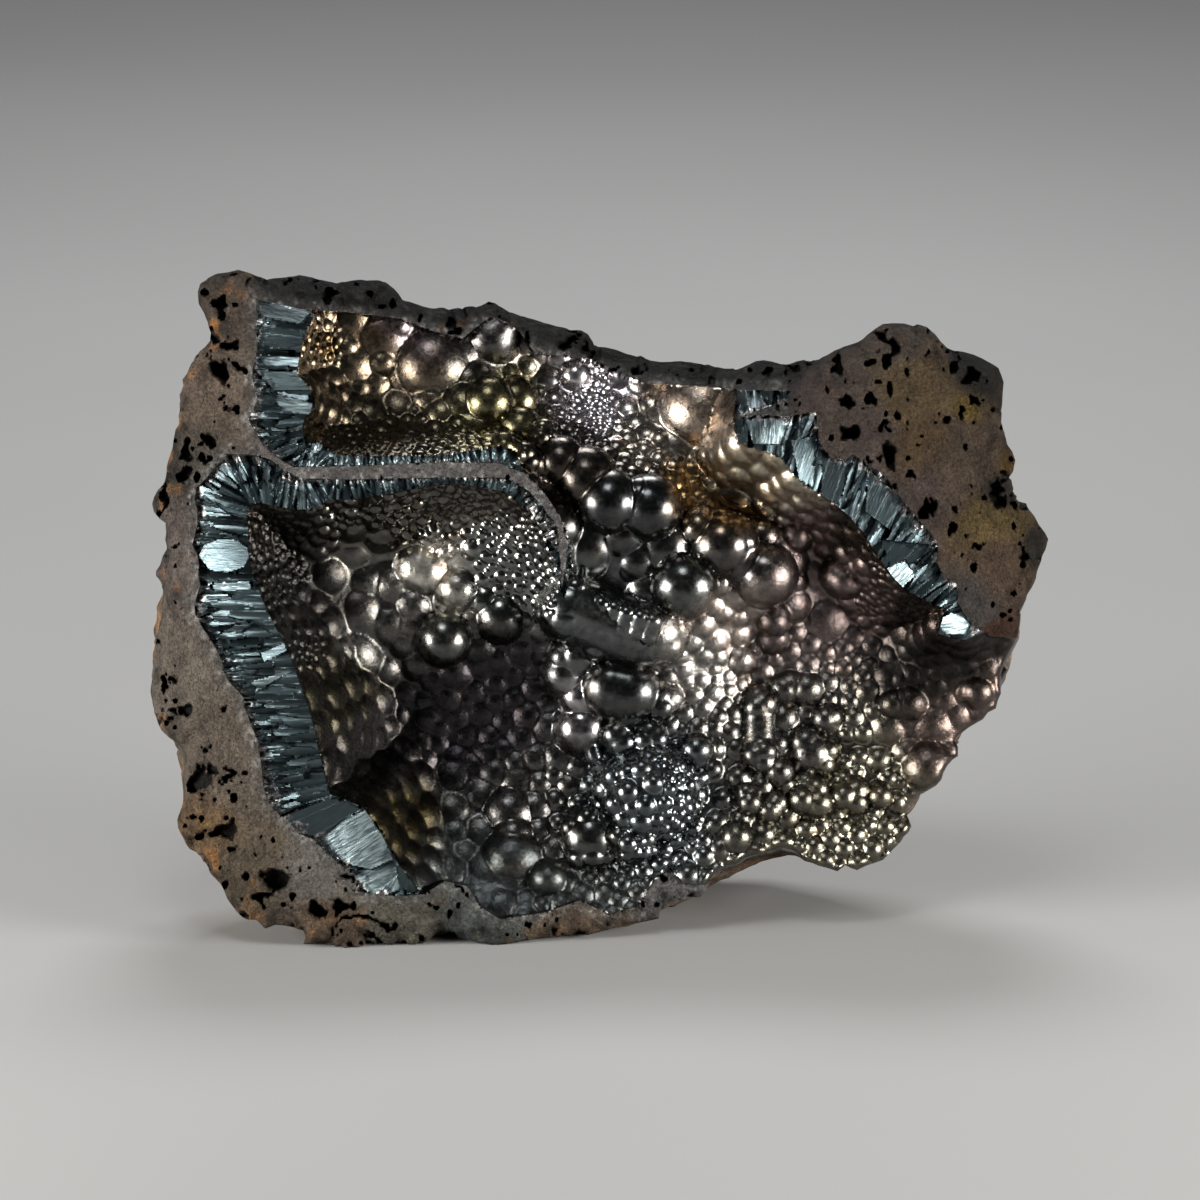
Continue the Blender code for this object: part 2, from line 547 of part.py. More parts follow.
def crust_block(name, growth):
    """A closed block that holds the crust: its edge upright, its back a tapered bowl."""
    edge = plane_points(CRUST_EDGE)
    inner = grid_inside(edge, CUTTER_GRID, 0.3 * CUTTER_GRID)
    faces = triangulate(edge, inner)
    centre = plane_points([CRUST_CENTRE])[0]
    count = len(edge)
    edge = grown_ring(edge, growth)
    sheet = np.vstack([edge, inner])
    rim = bent_plate(edge[:, 0], edge[:, 1], depth_points(RIM_DEPTH))
    floor_edge = bent_plate(edge[:, 0], edge[:, 1], depth_points(FLOOR_DEPTH))
    turn = rim + np.clip(floor_edge - rim, 0, CRUST_LIP_EXTRA) + CRUST_LIP + growth
    back = centre + (np.vstack([grown_ring(edge, growth), inner]) - centre) * CRUST_TAPER
    floor = bent_plate(back[:, 0], back[:, 1], depth_points(FLOOR_DEPTH)) + CRUST_THICKNESS + growth
    floor[:count] = np.maximum(floor[:count], turn + CRUST_REAR_STEP)
    front = np.column_stack([sheet, np.full(len(sheet), BLOCK_FRONT)])
    middle = np.column_stack([edge, turn])
    rear = np.column_stack([back, floor])
    points = np.vstack([front, middle, rear])
    shift = len(sheet) + count
    all_faces = list(faces)
    all_faces += [tuple(index + shift for index in reversed(face)) for face in faces]
    for i in range(count):
        j = (i + 1) % count
        for near, far in ((0, len(sheet)), (len(sheet), shift)):
            all_faces.append((near + i, near + j, far + i))
            all_faces.append((near + j, far + j, far + i))
    block = make_object(name, to_world(points), all_faces)
    block.hide_render = True
    block.display_type = 'WIRE'
    return block


def floor_block():
    """Everything below the flat cut that the piece stands on."""
    sides = (-FLOOR_BLOCK_REACH, FLOOR_BLOCK_REACH)
    corners = [(x, y, z) for z in (-FLOOR_BLOCK_DEPTH, 0.0) for y in sides for x in sides]
    faces = [(0, 2, 3, 1), (4, 5, 7, 6), (0, 1, 5, 4), (2, 6, 7, 3), (0, 4, 6, 2), (1, 3, 7, 5)]
    block = make_object("floor_block", corners, faces)
    block.hide_render = True
    block.display_type = 'WIRE'
    return block


def add_cut(obj, cutter, operation):
    """Cut obj with another body."""
    cut = obj.modifiers.new(cutter.name, 'BOOLEAN')
    cut.operation = operation
    cut.solver = 'EXACT'
    cut.object = cutter


def part_from(source, name, material):
    """A copy of the whole piece under its own name, coarsened to its share of faces."""
    obj = bpy.data.objects.new(name, source.data.copy())
    bpy.context.scene.collection.objects.link(obj)
    obj.data.materials.append(material)
    coarse = obj.modifiers.new("coarse", 'DECIMATE')
    coarse.ratio = FACES_WANTED / source_triangles(source)
    return obj


def source_triangles(obj):
    """Number of triangles in a mesh of triangles and quads."""
    return sum(len(face.vertices) - 2 for face in obj.data.polygons)


def plain_material(name, colour, roughness, metallic):
    """A Principled material of one colour."""
    material = bpy.data.materials.new(name)
    material.use_nodes = True
    shader = material.node_tree.nodes["Principled BSDF"]
    shader.inputs["Base Color"].default_value = (*colour, 1)
    shader.inputs["Roughness"].default_value = roughness
    shader.inputs["Metallic"].default_value = metallic
    material.diffuse_color = (*colour, 1)
    return material


def main():
    for obj in list(bpy.data.objects):
        bpy.data.objects.remove(obj, do_unlink=True)
    source = whole_piece()
    source.hide_render = True
    source.display_type = 'WIRE'
    floor = floor_block()
    inner_block = crust_block("crust_block", -GAP / 2)
    outer_block = crust_block("cavity_block", GAP / 2)
    stone = plain_material("limonite", (0.22, 0.17, 0.13), 0.9, 0.0)
    skin = plain_material("goethite", (0.07, 0.06, 0.06), 0.25, 0.7)
    matrix = part_from(source, "limonite_matrix", stone)
    add_cut(matrix, outer_block, 'DIFFERENCE')
    add_cut(matrix, floor, 'DIFFERENCE')
    crust = part_from(source, "goethite_crust", skin)
    add_cut(crust, inner_block, 'INTERSECT')


main()
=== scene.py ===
"""Looks of the goethite vug fragment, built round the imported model.

The face is the same relief as the solids have, drawn much finer: p runs to the right, q up the
leaning plane and depth away from the viewer. Outlines are in picture points (right, down) of a
1200 x 1200 picture, 7.5 to a millimetre, and other lengths are in metres unless a comment says so.
"""
import math
import bmesh
import bpy
import numpy as np
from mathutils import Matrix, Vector
from mathutils.geometry import delaunay_2d_cdt


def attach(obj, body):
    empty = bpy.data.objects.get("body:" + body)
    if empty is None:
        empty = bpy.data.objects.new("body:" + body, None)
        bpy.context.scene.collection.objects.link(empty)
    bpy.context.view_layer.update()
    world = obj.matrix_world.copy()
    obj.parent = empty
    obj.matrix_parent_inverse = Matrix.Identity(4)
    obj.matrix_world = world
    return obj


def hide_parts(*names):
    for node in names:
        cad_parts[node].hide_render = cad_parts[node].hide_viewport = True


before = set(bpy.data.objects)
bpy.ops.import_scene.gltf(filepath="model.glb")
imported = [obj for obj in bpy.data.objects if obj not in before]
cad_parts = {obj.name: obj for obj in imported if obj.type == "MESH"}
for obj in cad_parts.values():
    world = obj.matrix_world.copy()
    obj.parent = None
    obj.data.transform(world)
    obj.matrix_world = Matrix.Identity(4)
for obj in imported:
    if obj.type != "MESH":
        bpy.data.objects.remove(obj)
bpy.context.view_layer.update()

MM = 0.001
WIDTH = 0.120
POINT = WIDTH / 896
PICTURE_POINTS = 1200
PICTURE_CENTRE = (600, 600)
PLANE_ORIGIN = (600, 958)
OUTLINE_CENTRE = (590, 600)
CRUST_CENTRE = (590, 620)
LEAN = math.radians(12)
STANDING_POINT = 0.034
BACK_DEPTH_LOW = 0.052
BACK_DEPTH_HIGH = 0.043
HEIGHT = 0.092

# The crust's block: its edge falls with the floor, and its back lies behind the floor
CRUST_THICKNESS = 8 * MM
CRUST_TAPER = 0.87
CRUST_EDGE_FALL = 3.5 * MM
CRUST_EDGE_THICKNESS = 3 * MM
CRUST_BACK_STEP = 1.5 * MM
BLOCK_FRONT = -30 * MM
HOLLOW_BLOCK_DEPTHS = (-31 * MM, 80 * MM)
CUTTER_GRID = 6 * MM
CUT_DEPTH = 0.1
CUT_REACH = 0.3

# The bowl's wall: depth just inside the rim, slope, rounding into the floor, where it starts to waver
WALL_TOP = 0.8 * MM
WALL_SLOPE = 1.5
WALL_ROUNDING = 3 * MM
WAVER_START = 2 * MM

# Steps of the net of points on the face, and the cell sizes (points) where it gets coarser
COARSE = 0.31 * MM
MIDDLE = 0.232 * MM
FINE = 0.175 * MM
CELL_LEVELS = (5.5, 9.5)
OUTLINE_SHARES = (0.975, 1.03)

# Cells of the skin; their spread of size falls from a base with their size, between least and most
CELL_SPREAD = (0.62, 0.06, 0.2, 0.45)
CELL_TRIES = 90000
CELL_SHARES = (1.0, 1.0, 0.8)
CELL_PACKING = 0.74
CELL_GROWTH = 1.22
CELL_OVERHANG = 0.3 * MM
CELL_SPOT_SEED = 90
SLOPE_STEP = 0.15 * MM
SLOPE_LIMIT = 2.2
SPOT_SOFTNESS = 0.15

# Sides and back: rings, how soon they grow smooth and rough, how square their profile is, pits
RING_STEP = 0.5 * MM
BACK_RINGS = 58
SMOOTH_START = 5 / 34
ROUGH_START = 4 / 34
OUTLINE_SMOOTHING = 19
SQUARENESS_TOP = 3.2
SQUARENESS_BELOW = 3.5
MIDDLE_DEPTH = 22 * MM
PIT_SPHERE = 50 * MM
PITLESS_MIDDLE = 10 * MM
PIT_THRESHOLD = 0.62
SIDE_PIT_DEPTH = 1.8 * MM
SIDE_DENT_DEPTH = 3 * MM

# Fibre band: bulge of a fan, shine, and the splinters at its foot and head, in rows of start and end
# as shares of the fan's length, spacing in mm, tilt across
FAN_BULGE = 0.9 * MM
BULGE_POWER = 1.6
FACET_BULGE = 0.5 * MM
BAND_MARGIN = 0.5 * MM
BEYOND_WEIGHT = 1.5
SEPTUM_FIBRE = 6.5
SEPTUM_SHINE = 0.7
FACET_SHINE = 0.7
SPLINTERS_AT_FOOT = (-0.05, 0.30, 0.6, 0.6)
SPLINTERS_AT_HEAD = (0.27, 1.05, 2.0, 0.30)
SPLINTER_LENGTH = 2.6
SPLINTER_SLIMNESS = 0.22
SPLINTER_REACH = 4 * MM
SPLINTER_RELIEF = 1.3 * MM
TILT_ALONG = 0.24
HEADING_SCATTER = 0.05
LIFT_SCATTER = 0.16
CALM_TILT = 0.35
CALM_RIGHT = 330
CALM_TOP = 595
CALM_BOTTOM = 820

# Matrix: pores, rounded and crumbly edge, grey seam beside the crust
PORE_DEPTH = 2.6 * MM
PORE_CORE = 1.7
PORE_STEEPNESS_LEFT = 1.15
PORE_STEEPNESS_RIGHT = 1.5
RIGHT_PORES = 800
PORE_EDGE = 4 * MM
ZONE_PORES = 0.42
CRUMBLY_EDGE = 4.5 * MM
SKIN_ROLL = 0.9 * MM
ROCK_ROLL = 2.4 * MM
EDGE_ROUNDNESS = 0.96
SEAM_WIDTH = 2 * MM
SEAM_RIGHT = 25 * MM

# Noises: size of the lumps and height, both in mm, and seed
WANDER = [(5, 1.6, 0), (1.6, 0.7, 1)]
FLOOR_GRAIN = [(6, 0.7, 6), (3, 0.3, 61)]
WALL_GRAIN = [(7, 0.9, 62), (3, 0.45, 63)]
ROCK_GRAIN = [(9, 0.9, 1), (4, 0.6, 2), (1.8, 0.3, 3), (0.9, 0.16, 18)]
ROCK_GRIT = [(0.5, 0.16, 65)]
ROCK_CRUMBS = [(2.4, 1.5, 66), (1.1, 0.7, 67)]
FOOT_GRIT = [(0.5, 0.12, 64)]
PORE_WARP = [(1.5, 1.2, 4), (0.6, 0.5, 8)]
SIDE_GRAIN = [(16, 1.3, 11), (7, 0.8, 12), (3.2, 0.4, 13), (1.4, 0.22, 19)]

DARK_FIBRE = (0.014, 0.019, 0.021)
STEEL_FIBRE = (0.050, 0.070, 0.078)
SILVER_FIBRE_AND_HIGHLIGHT = (0.34, 0.42, 0.44)
SIDE_BROWN = (0.155, 0.122, 0.098)
OCHRE = (0.24, 0.14, 0.055)
RUST = (0.26, 0.12, 0.035)
SEAM_GREY = (0.135, 0.138, 0.140)
TOP_BLACK = (0.0034, 0.0034, 0.0032)

CAMERA_DISTANCE = 1.4
CAMERA_TARGET_DEPTH = 12 * MM
SENSOR = 36
SWEEP_REACH = 2.5
SWEEP_BEND = 0.9
SWEEP_RADIUS = 0.5
SWEEP_STEPS = 12
SWEEP_HALF_WIDTH = 3.0
FLOOR_TONES = (0.295, 0.325)

# Lights: name, degrees round from the camera's side, height, distance, size, watts, colour
LIGHTS = [
    ("left_box", -64, 0.06, 0.45, 0.26, 6.0, (1.0, 0.97, 0.92)),
    ("right_box", 64, 0.06, 0.45, 0.26, 6.0, (1.0, 0.97, 0.92)),
    ("top_box", -10, 0.75, 0.35, 0.25, 1.5, (0.95, 0.98, 1.0))]
FLOOR_LIGHT = ("floor_pool", 180, 0.55, 0.42, 0.30, 3.2, (1.0, 1.0, 1.0))

OUTLINE = [
    (200, 284), (208, 278), (214, 274), (228, 272), (238, 269.5), (247, 272), (258, 276),
    (266, 279), (283, 277), (300, 276), (312, 277), (322, 280), (332, 284), (341, 287), (350, 283),
    (358, 279.5), (376, 278.5), (384, 280), (392, 286), (398, 293), (399, 299), (408, 300),
    (420, 304), (432, 308), (446, 311), (452, 316), (465, 315), (472, 310), (480, 304),
    (488, 299.5), (494, 301), (502, 306), (510, 311), (518, 314), (522, 320), (530, 327),
    (556, 327), (581, 328), (588, 332), (593, 340), (597, 354), (603, 360), (610, 364), (618, 363),
    (626, 361), (636, 359.5), (660, 361), (682, 360), (690, 363), (700, 367), (714, 375),
    (720, 373), (740, 367), (750, 363), (757, 359.5), (765, 358.5), (773, 360), (782, 363),
    (790, 363), (798, 360), (805, 358.5), (810, 362), (818, 360), (826, 356), (834, 351),
    (846, 346), (858, 342), (863, 339), (868, 334), (876, 328), (884, 323), (894, 322),
    (905, 322.5), (914, 325), (919, 323), (928, 326), (936, 333), (942, 341), (948, 347),
    (956, 349.5), (966, 351), (976, 354), (984, 357.5), (992, 362), (1000, 367), (1003, 374),
    (1005, 381), (1004, 395), (1003, 410), (1002, 422), (1005, 432), (1008, 444), (1013, 451),
    (1016, 460), (1014, 470), (1010, 477), (1010, 486), (1014, 494), (1020, 501), (1028, 503),
    (1030, 509), (1036, 516), (1041, 525), (1047, 533), (1050, 539), (1047, 550), (1043, 560),
    (1040, 568), (1037, 578), (1032, 588), (1026, 597), (1022, 606), (1021, 618), (1020, 632),
    (1016, 644), (1010, 655), (1005, 663), (1002, 672), (1001, 684), (1003, 694), (1000, 701),
    (998, 709), (990, 713), (985, 720), (978, 724), (968, 730), (960, 736), (957, 741), (960, 748),
    (960, 757), (955, 760), (949, 766), (945, 773), (943, 780), (938, 786), (930, 791), (920, 797),
    (912, 802), (910, 808), (908, 815), (913, 827), (910, 833), (905, 838), (902, 843), (896, 849),
    (890, 855), (884, 861), (876, 864), (866, 867), (858, 871), (852, 869), (846, 866), (838, 872),
    (826, 868), (818, 866), (810, 862), (802, 858), (795, 852), (790, 849.5), (782, 848),
    (772, 851), (764, 855), (754, 855), (744, 858), (736, 864), (728, 865), (720, 867), (714, 873),
    (708, 884), (706, 893), (700, 898), (690, 898), (684, 901), (676, 901), (668, 904), (661, 908),
    (659, 919), (645, 922), (635, 924), (622, 926), (612, 929), (600, 932), (588, 935), (572, 936),
    (548, 937), (535, 939), (520, 941), (508, 945), (500, 948), (493, 948), (484, 944), (474, 941),
    (462, 937), (450, 932), (440, 929), (434, 933), (430, 938), (424, 942), (416, 944), (408, 943),
    (398, 941), (392, 944), (376, 943), (367, 941), (364, 948), (360, 953), (356, 958), (351, 958),
    (346, 953), (342, 948), (334, 947), (330, 942), (322, 941), (312, 943), (304, 943), (306, 937),
    (304, 930), (296, 927), (286, 925), (276, 924), (266, 928), (262, 924), (257, 919), (250, 919),
    (243, 917), (238, 912), (233, 905), (228, 898), (225, 890), (222, 884), (216, 878), (211, 873),
    (207, 866), (202, 858), (197, 852), (190, 849), (186, 844), (182, 836), (178, 828), (177, 820),
    (180, 812), (183, 803), (184, 790), (183, 778), (187, 765), (189, 755), (184, 748), (178, 742),
    (170, 738), (162, 731), (157, 723), (154, 713), (152, 703), (150, 692), (151, 680), (153, 668),
    (156, 655), (155, 645), (158, 632), (160, 622), (164, 612), (165, 600), (163, 590), (160, 582),
    (156, 576), (156, 571), (160, 565), (163, 556), (168, 548), (166, 540), (167, 532), (166, 523),
    (160, 519), (154, 512), (152, 504), (154, 497), (158, 490), (163, 485), (165, 478), (168, 463),
    (170, 457), (173, 448), (174, 440), (176, 430), (180, 424), (179, 416), (180, 404), (180, 395),
    (184, 386), (183, 380), (188, 374), (191, 366), (195, 358), (200, 352), (206, 347), (211, 341),
    (211, 333), (208, 322), (204, 313), (199, 304), (198, 292)]

CRUST_EDGE = [
    (257, 300), (300, 309), (350, 312), (400, 318), (430, 330), (462, 338), (476, 326), (490, 316),
    (506, 320), (520, 332), (535, 352), (590, 357), (612, 368), (645, 382), (705, 385), (738, 389),
    (790, 391), (786, 402), (765, 408), (742, 417), (760, 415), (785, 417), (815, 412), (818, 425),
    (818, 440), (822, 448), (830, 458), (845, 460), (852, 455), (862, 460), (870, 467), (880, 472),
    (888, 480), (895, 490), (902, 500), (910, 510), (918, 520), (928, 530), (935, 540), (938, 552),
    (935, 560), (940, 570), (945, 578), (955, 582), (958, 592), (957, 602), (968, 620), (990, 636),
    (1040, 640), (1030, 700), (1000, 745), (975, 790), (940, 850), (880, 890), (840, 890),
    (780, 872), (735, 884), (715, 874), (706, 886), (682, 884), (670, 870), (655, 880), (640, 905),
    (610, 915), (580, 900), (545, 912), (500, 918), (480, 905), (468, 885), (445, 880), (425, 893),
    (398, 895), (358, 890), (355, 872), (340, 862), (322, 845), (315, 838), (300, 832), (292, 822),
    (287, 818), (275, 808), (268, 797), (265, 785), (264, 770), (262, 755), (260, 740), (255, 728),
    (250, 715), (246, 705), (246, 697), (240, 690), (232, 682), (226, 672), (224, 660), (218, 648),
    (211, 637), (203, 625), (197, 615), (196, 605), (199, 595), (202, 585), (200, 575), (201, 565),
    (199, 555), (194, 545), (199, 525), (199, 510), (196, 500), (198, 488), (207, 480), (215, 470),
    (222, 462), (230, 455), (240, 455), (262, 456), (275, 462), (285, 470), (302, 479), (340, 480),
    (440, 478), (500, 478), (510, 480), (530, 492), (545, 510), (556, 525), (560, 540), (560, 560),
    (562, 590), (566, 565), (568, 545), (560, 516), (545, 494), (525, 474), (500, 464), (440, 463),
    (360, 467), (303, 468), (295, 468), (284, 462), (278, 458), (272, 452), (264, 446), (260, 438),
    (254, 428), (250, 420), (255, 410), (259, 400), (257, 390), (254, 380), (254, 370), (257, 358),
    (258, 345), (257, 330)]

HOLLOW_EDGE = [
    (250, 280), (315, 315), (308, 328), (303, 345), (300, 360), (298, 375), (310, 388), (314, 398),
    (315, 411), (306, 418), (303, 430), (306, 437), (312, 445), (320, 443), (328, 449), (335, 455),
    (350, 457), (420, 457), (440, 456), (500, 447), (515, 452), (525, 475), (540, 500), (556, 515),
    (565, 530), (570, 548), (571, 565), (564, 598), (556, 565), (545, 535), (530, 510), (505, 492),
    (460, 484), (430, 486), (410, 490), (385, 495), (350, 500), (330, 500), (320, 507), (312, 510),
    (300, 510), (285, 508), (270, 505), (262, 503), (253, 505), (248, 515), (250, 525), (251, 560),
    (254, 575), (259, 583), (264, 598), (270, 612), (275, 622), (285, 640), (292, 655), (297, 668),
    (302, 682), (308, 700), (313, 715), (317, 730), (320, 748), (324, 763), (328, 780), (332, 793),
    (345, 797), (367, 808), (375, 820), (385, 835), (392, 850), (398, 860), (405, 870), (420, 890),
    (430, 940), (720, 980), (1080, 900), (1080, 640), (1000, 625), (965, 640), (938, 634),
    (945, 608), (935, 605), (920, 598), (908, 592), (903, 588), (893, 578), (885, 567), (877, 555),
    (870, 545), (862, 532), (850, 518), (835, 505), (820, 495), (808, 488), (795, 478), (785, 463),
    (782, 458), (765, 452), (750, 447), (738, 443), (734, 420), (736, 400), (732, 370), (600, 330),
    (480, 280)]

# Depth of the front of the piece: right, down, millimetres
RIM_DEPTH = [
    (200, 280, 10), (240, 300, 7), (250, 380, 5), (180, 430, 8), (220, 450, 5), (152, 500, 10),
    (190, 540, 6), (156, 620, 10), (195, 620, 6), (152, 700, 11), (200, 700, 5), (230, 760, 4),
    (180, 810, 9), (240, 880, 6), (300, 900, 5), (350, 940, 6), (430, 920, 6), (500, 935, 8),
    (580, 925, 10), (640, 915, 11), (700, 890, 13), (300, 470, 5), (400, 465, 5), (500, 458, 6),
    (545, 500, 6), (565, 560, 8), (740, 400, 11), (790, 405, 9), (830, 430, 8), (860, 480, 8),
    (900, 530, 8), (940, 600, 9), (965, 640, 11), (840, 360, 11), (900, 330, 14), (970, 365, 14),
    (1000, 420, 12), (900, 440, 8), (960, 500, 9), (1000, 560, 11), (1045, 540, 15),
    (1012, 620, 13), (1000, 690, 17), (300, 280, 14), (380, 290, 16), (430, 310, 18),
    (490, 305, 18), (560, 335, 20), (640, 365, 22), (720, 375, 20), (780, 365, 16),
    (720, 865, 16), (800, 855, 17), (880, 860, 18), (910, 810, 18), (950, 750, 18)]

# Depth of the floor of the hollow: right, down, millimetres
FLOOR_DEPTH = [
    (360, 330, 16), (420, 345, 17), (400, 380, 17), (470, 330, 18), (560, 350, 22), (620, 380, 23),
    (700, 380, 21), (520, 400, 20), (600, 420, 19), (680, 450, 18), (760, 420, 18), (740, 480, 18),
    (800, 520, 18), (360, 440, 13), (480, 400, 15), (540, 440, 13), (600, 490, 11), (640, 520, 11),
    (700, 540, 12), (765, 575, 14), (580, 610, 14), (640, 650, 14), (690, 690, 16), (330, 560, 12),
    (400, 540, 14), (440, 640, 15), (480, 720, 18), (400, 700, 17), (350, 740, 14), (430, 800, 16),
    (520, 780, 17), (560, 700, 17), (650, 795, 15), (600, 840, 15), (740, 800, 16), (820, 820, 17),
    (880, 780, 19), (900, 720, 19), (960, 700, 19), (820, 640, 20), (760, 640, 19), (880, 620, 21),
    (940, 660, 17), (450, 870, 13), (550, 900, 11), (680, 875, 13), (845, 560, 20)]

# Big bubbles: right, down, radius, share of the radius sunk in the floor
BUBBLES = [
    (609, 502, 34, 0.0), (649, 508, 35, 0.0), (490, 338, 30, 0.5), (488, 402, 27, 0.2),
    (515, 400, 26, 0.2), (520, 427, 22, 0.2), (540, 441, 20, 0.2), (560, 463, 28, 0.1),
    (586, 479, 34, 0.1), (700, 530, 22, 0.3), (722, 545, 34, 0.2), (765, 575, 34, 0.2),
    (684, 586, 35, 0.0), (443, 640, 29, -0.1), (655, 700, 25, 0.2), (620, 738, 22, 0.3),
    (650, 740, 22, 0.3), (650, 795, 53, 0.2), (590, 840, 33, 0.2), (632, 842, 28, 0.2),
    (548, 880, 15, 0.2), (455, 590, 22, 0.6), (500, 618, 20, 0.6), (420, 570, 26, 0.6),
    (700, 402, 36, 0.35), (575, 375, 18, 0.2), (845, 578, 22, 0.3), (785, 518, 10, 0.2),
    (797, 535, 12, 0.2), (740, 660, 18, 0.3), (775, 620, 15, 0.2), (775, 637, 14, 0.2),
    (785, 690, 18, 0.3), (808, 690, 20, 0.3), (828, 720, 14, 0.2), (812, 755, 24, 0.3),
    (697, 752, 14, 0.2), (733, 838, 16, 0.2), (748, 800, 16, 0.2), (770, 808, 14, 0.2),
    (810, 800, 22, 0.3), (850, 800, 18, 0.3), (880, 795, 15, 0.3), (930, 762, 14, 0.2),
    (982, 692, 10, 0.2), (895, 705, 11, 0.2), (915, 705, 11, 0.2), (430, 530, 15, 0.3),
    (395, 325, 20, 0.7), (380, 362, 18, 0.6), (430, 350, 20, 0.6)]

# Sausages: two ends, radius at each end, share sunk in the floor
RIDGES = [
    ((640, 498), (652, 500), 22, 20, -0.5), ((570, 608), (632, 632), 34, 37, 0.0),
    ((632, 632), (652, 632), 37, 34, 0.0), ((612, 688), (628, 692), 35, 35, 0.1),
    ((760, 705), (760, 755), 17, 17, 0.1), ((770, 765), (787, 787), 11, 11, 0.1),
    ((568, 655), (575, 700), 12, 10, -0.6), ((575, 700), (595, 758), 10, 9, -0.5),
    ((722, 545), (765, 575), 28, 28, 0.3), ((505, 448), (545, 470), 14, 14, 0.3),
    ((601, 605), (597, 618), 11, 11, -2.75), ((614, 609), (610, 622), 11, 11, -2.75),
    ((626, 614), (622, 626), 11, 11, -2.75), ((640, 618), (636, 631), 11, 11, -2.75),
    ((652, 622), (648, 636), 11, 11, -2.75), ((506, 805), (518, 858), 20, 20, 0.6)]

# Bubbles that stay bare of smaller ones: right, down, radius
BARE = [
    (609, 502, 34), (649, 508, 35), (684, 586, 35), (443, 640, 29), (722, 545, 30), (765, 575, 34),
    (586, 479, 34), (560, 463, 28), (612, 690, 35), (640, 695, 30), (580, 610, 26), (600, 615, 34),
    (620, 625, 35), (645, 632, 34), (488, 402, 27), (515, 400, 26), (520, 427, 22), (760, 730, 17),
    (812, 755, 20), (740, 660, 18), (700, 400, 30), (588, 838, 24), (575, 375, 18), (785, 690, 16),
    (808, 690, 18), (490, 345, 30)]

# Cells of the skin: right, down, reach, half their spacing, how flat they are
CELLS = [
    (330, 340, 26, 5, 1.6), (380, 340, 35, 18, 2.3), (430, 350, 30, 16, 2.2),
    (400, 385, 30, 17, 2.3), (345, 400, 30, 9, 2.2), (440, 395, 20, 13, 2.0),
    (345, 438, 30, 5, 1.4), (420, 440, 40, 6, 1.5), (545, 360, 25, 11, 1.7),
    (590, 365, 16, 3.6, 1.3), (595, 410, 26, 3.6, 1.3), (570, 410, 14, 7, 1.3),
    (640, 378, 20, 12, 1.9), (655, 425, 24, 11, 1.8), (700, 405, 34, 18, 2.4),
    (640, 455, 22, 7, 1.5), (720, 445, 25, 10, 1.7), (760, 470, 30, 13, 1.5),
    (700, 480, 16, 6, 1.6), (790, 500, 24, 12, 1.5), (825, 530, 24, 10, 1.6),
    (600, 545, 28, 19, 1.6), (650, 545, 25, 17, 1.7), (700, 520, 18, 9, 1.7),
    (845, 570, 24, 9, 1.5), (810, 570, 22, 14, 1.7), (840, 500, 14, 4, 1.4), (880, 560, 18, 4, 1.4),
    (925, 610, 20, 4, 1.4), (870, 600, 18, 4, 1.4), (735, 610, 28, 11, 1.5),
    (700, 650, 25, 10, 1.6), (690, 625, 20, 10, 1.6), (780, 640, 28, 12, 1.4),
    (820, 640, 24, 11, 1.6), (850, 670, 22, 8, 1.4), (900, 650, 24, 9, 2.2), (950, 670, 40, 8, 2.4),
    (830, 600, 22, 20, 2.0), (720, 690, 25, 7, 1.9), (730, 730, 25, 10, 1.4),
    (720, 790, 20, 10, 1.15), (760, 800, 25, 11, 1.12), (800, 800, 25, 11, 1.12),
    (850, 790, 25, 10, 1.12), (880, 820, 25, 9, 1.12), (840, 845, 25, 10, 1.12),
    (900, 770, 20, 10, 1.15), (930, 730, 30, 14, 1.8), (980, 700, 20, 13, 1.6),
    (870, 720, 18, 10, 1.2), (740, 840, 25, 10, 1.2), (560, 600, 14, 4, 1.3),
    (600, 665, 20, 10, 1.5), (660, 660, 22, 9, 1.5), (680, 720, 22, 10, 1.4),
    (640, 720, 22, 11, 1.4), (570, 720, 22, 14, 1.6), (560, 780, 22, 9, 1.5),
    (618, 775, 26, 11, 1.15), (615, 825, 26, 10, 1.15), (684, 780, 13, 5, 1.15),
    (686, 820, 13, 5, 1.15), (670, 750, 12, 4, 1.2), (590, 835, 22, 7, 1.25),
    (635, 845, 18, 6, 1.2), (610, 880, 20, 9, 1.5), (550, 880, 22, 10, 1.4),
    (500, 880, 30, 14, 2.6), (520, 820, 25, 14, 1.7), (470, 800, 30, 14, 2.4),
    (420, 820, 25, 14, 2.2), (400, 770, 25, 14, 2.2), (350, 740, 25, 15, 2.4),
    (350, 680, 25, 17, 2.4), (320, 650, 16, 4, 1.4), (290, 580, 20, 4, 1.4), (275, 530, 16, 4, 1.4),
    (330, 590, 20, 16, 2.2), (370, 560, 25, 16, 2.2), (375, 630, 25, 15, 2.0),
    (400, 660, 20, 12, 1.7), (460, 650, 18, 12, 2.0), (470, 720, 45, 10, 2.3),
    (530, 680, 30, 10, 2.2), (540, 740, 25, 11, 2.0), (420, 575, 20, 18, 1.4),
    (465, 580, 16, 16, 1.4), (500, 620, 18, 15, 1.4), (500, 570, 22, 4.5, 1.5),
    (530, 600, 18, 5, 1.5), (400, 520, 22, 6, 1.15), (350, 520, 20, 5.5, 1.15),
    (440, 545, 12, 5, 1.2), (470, 510, 18, 3.8, 1.3), (510, 540, 22, 3.8, 1.3),
    (545, 575, 18, 4, 1.3)]

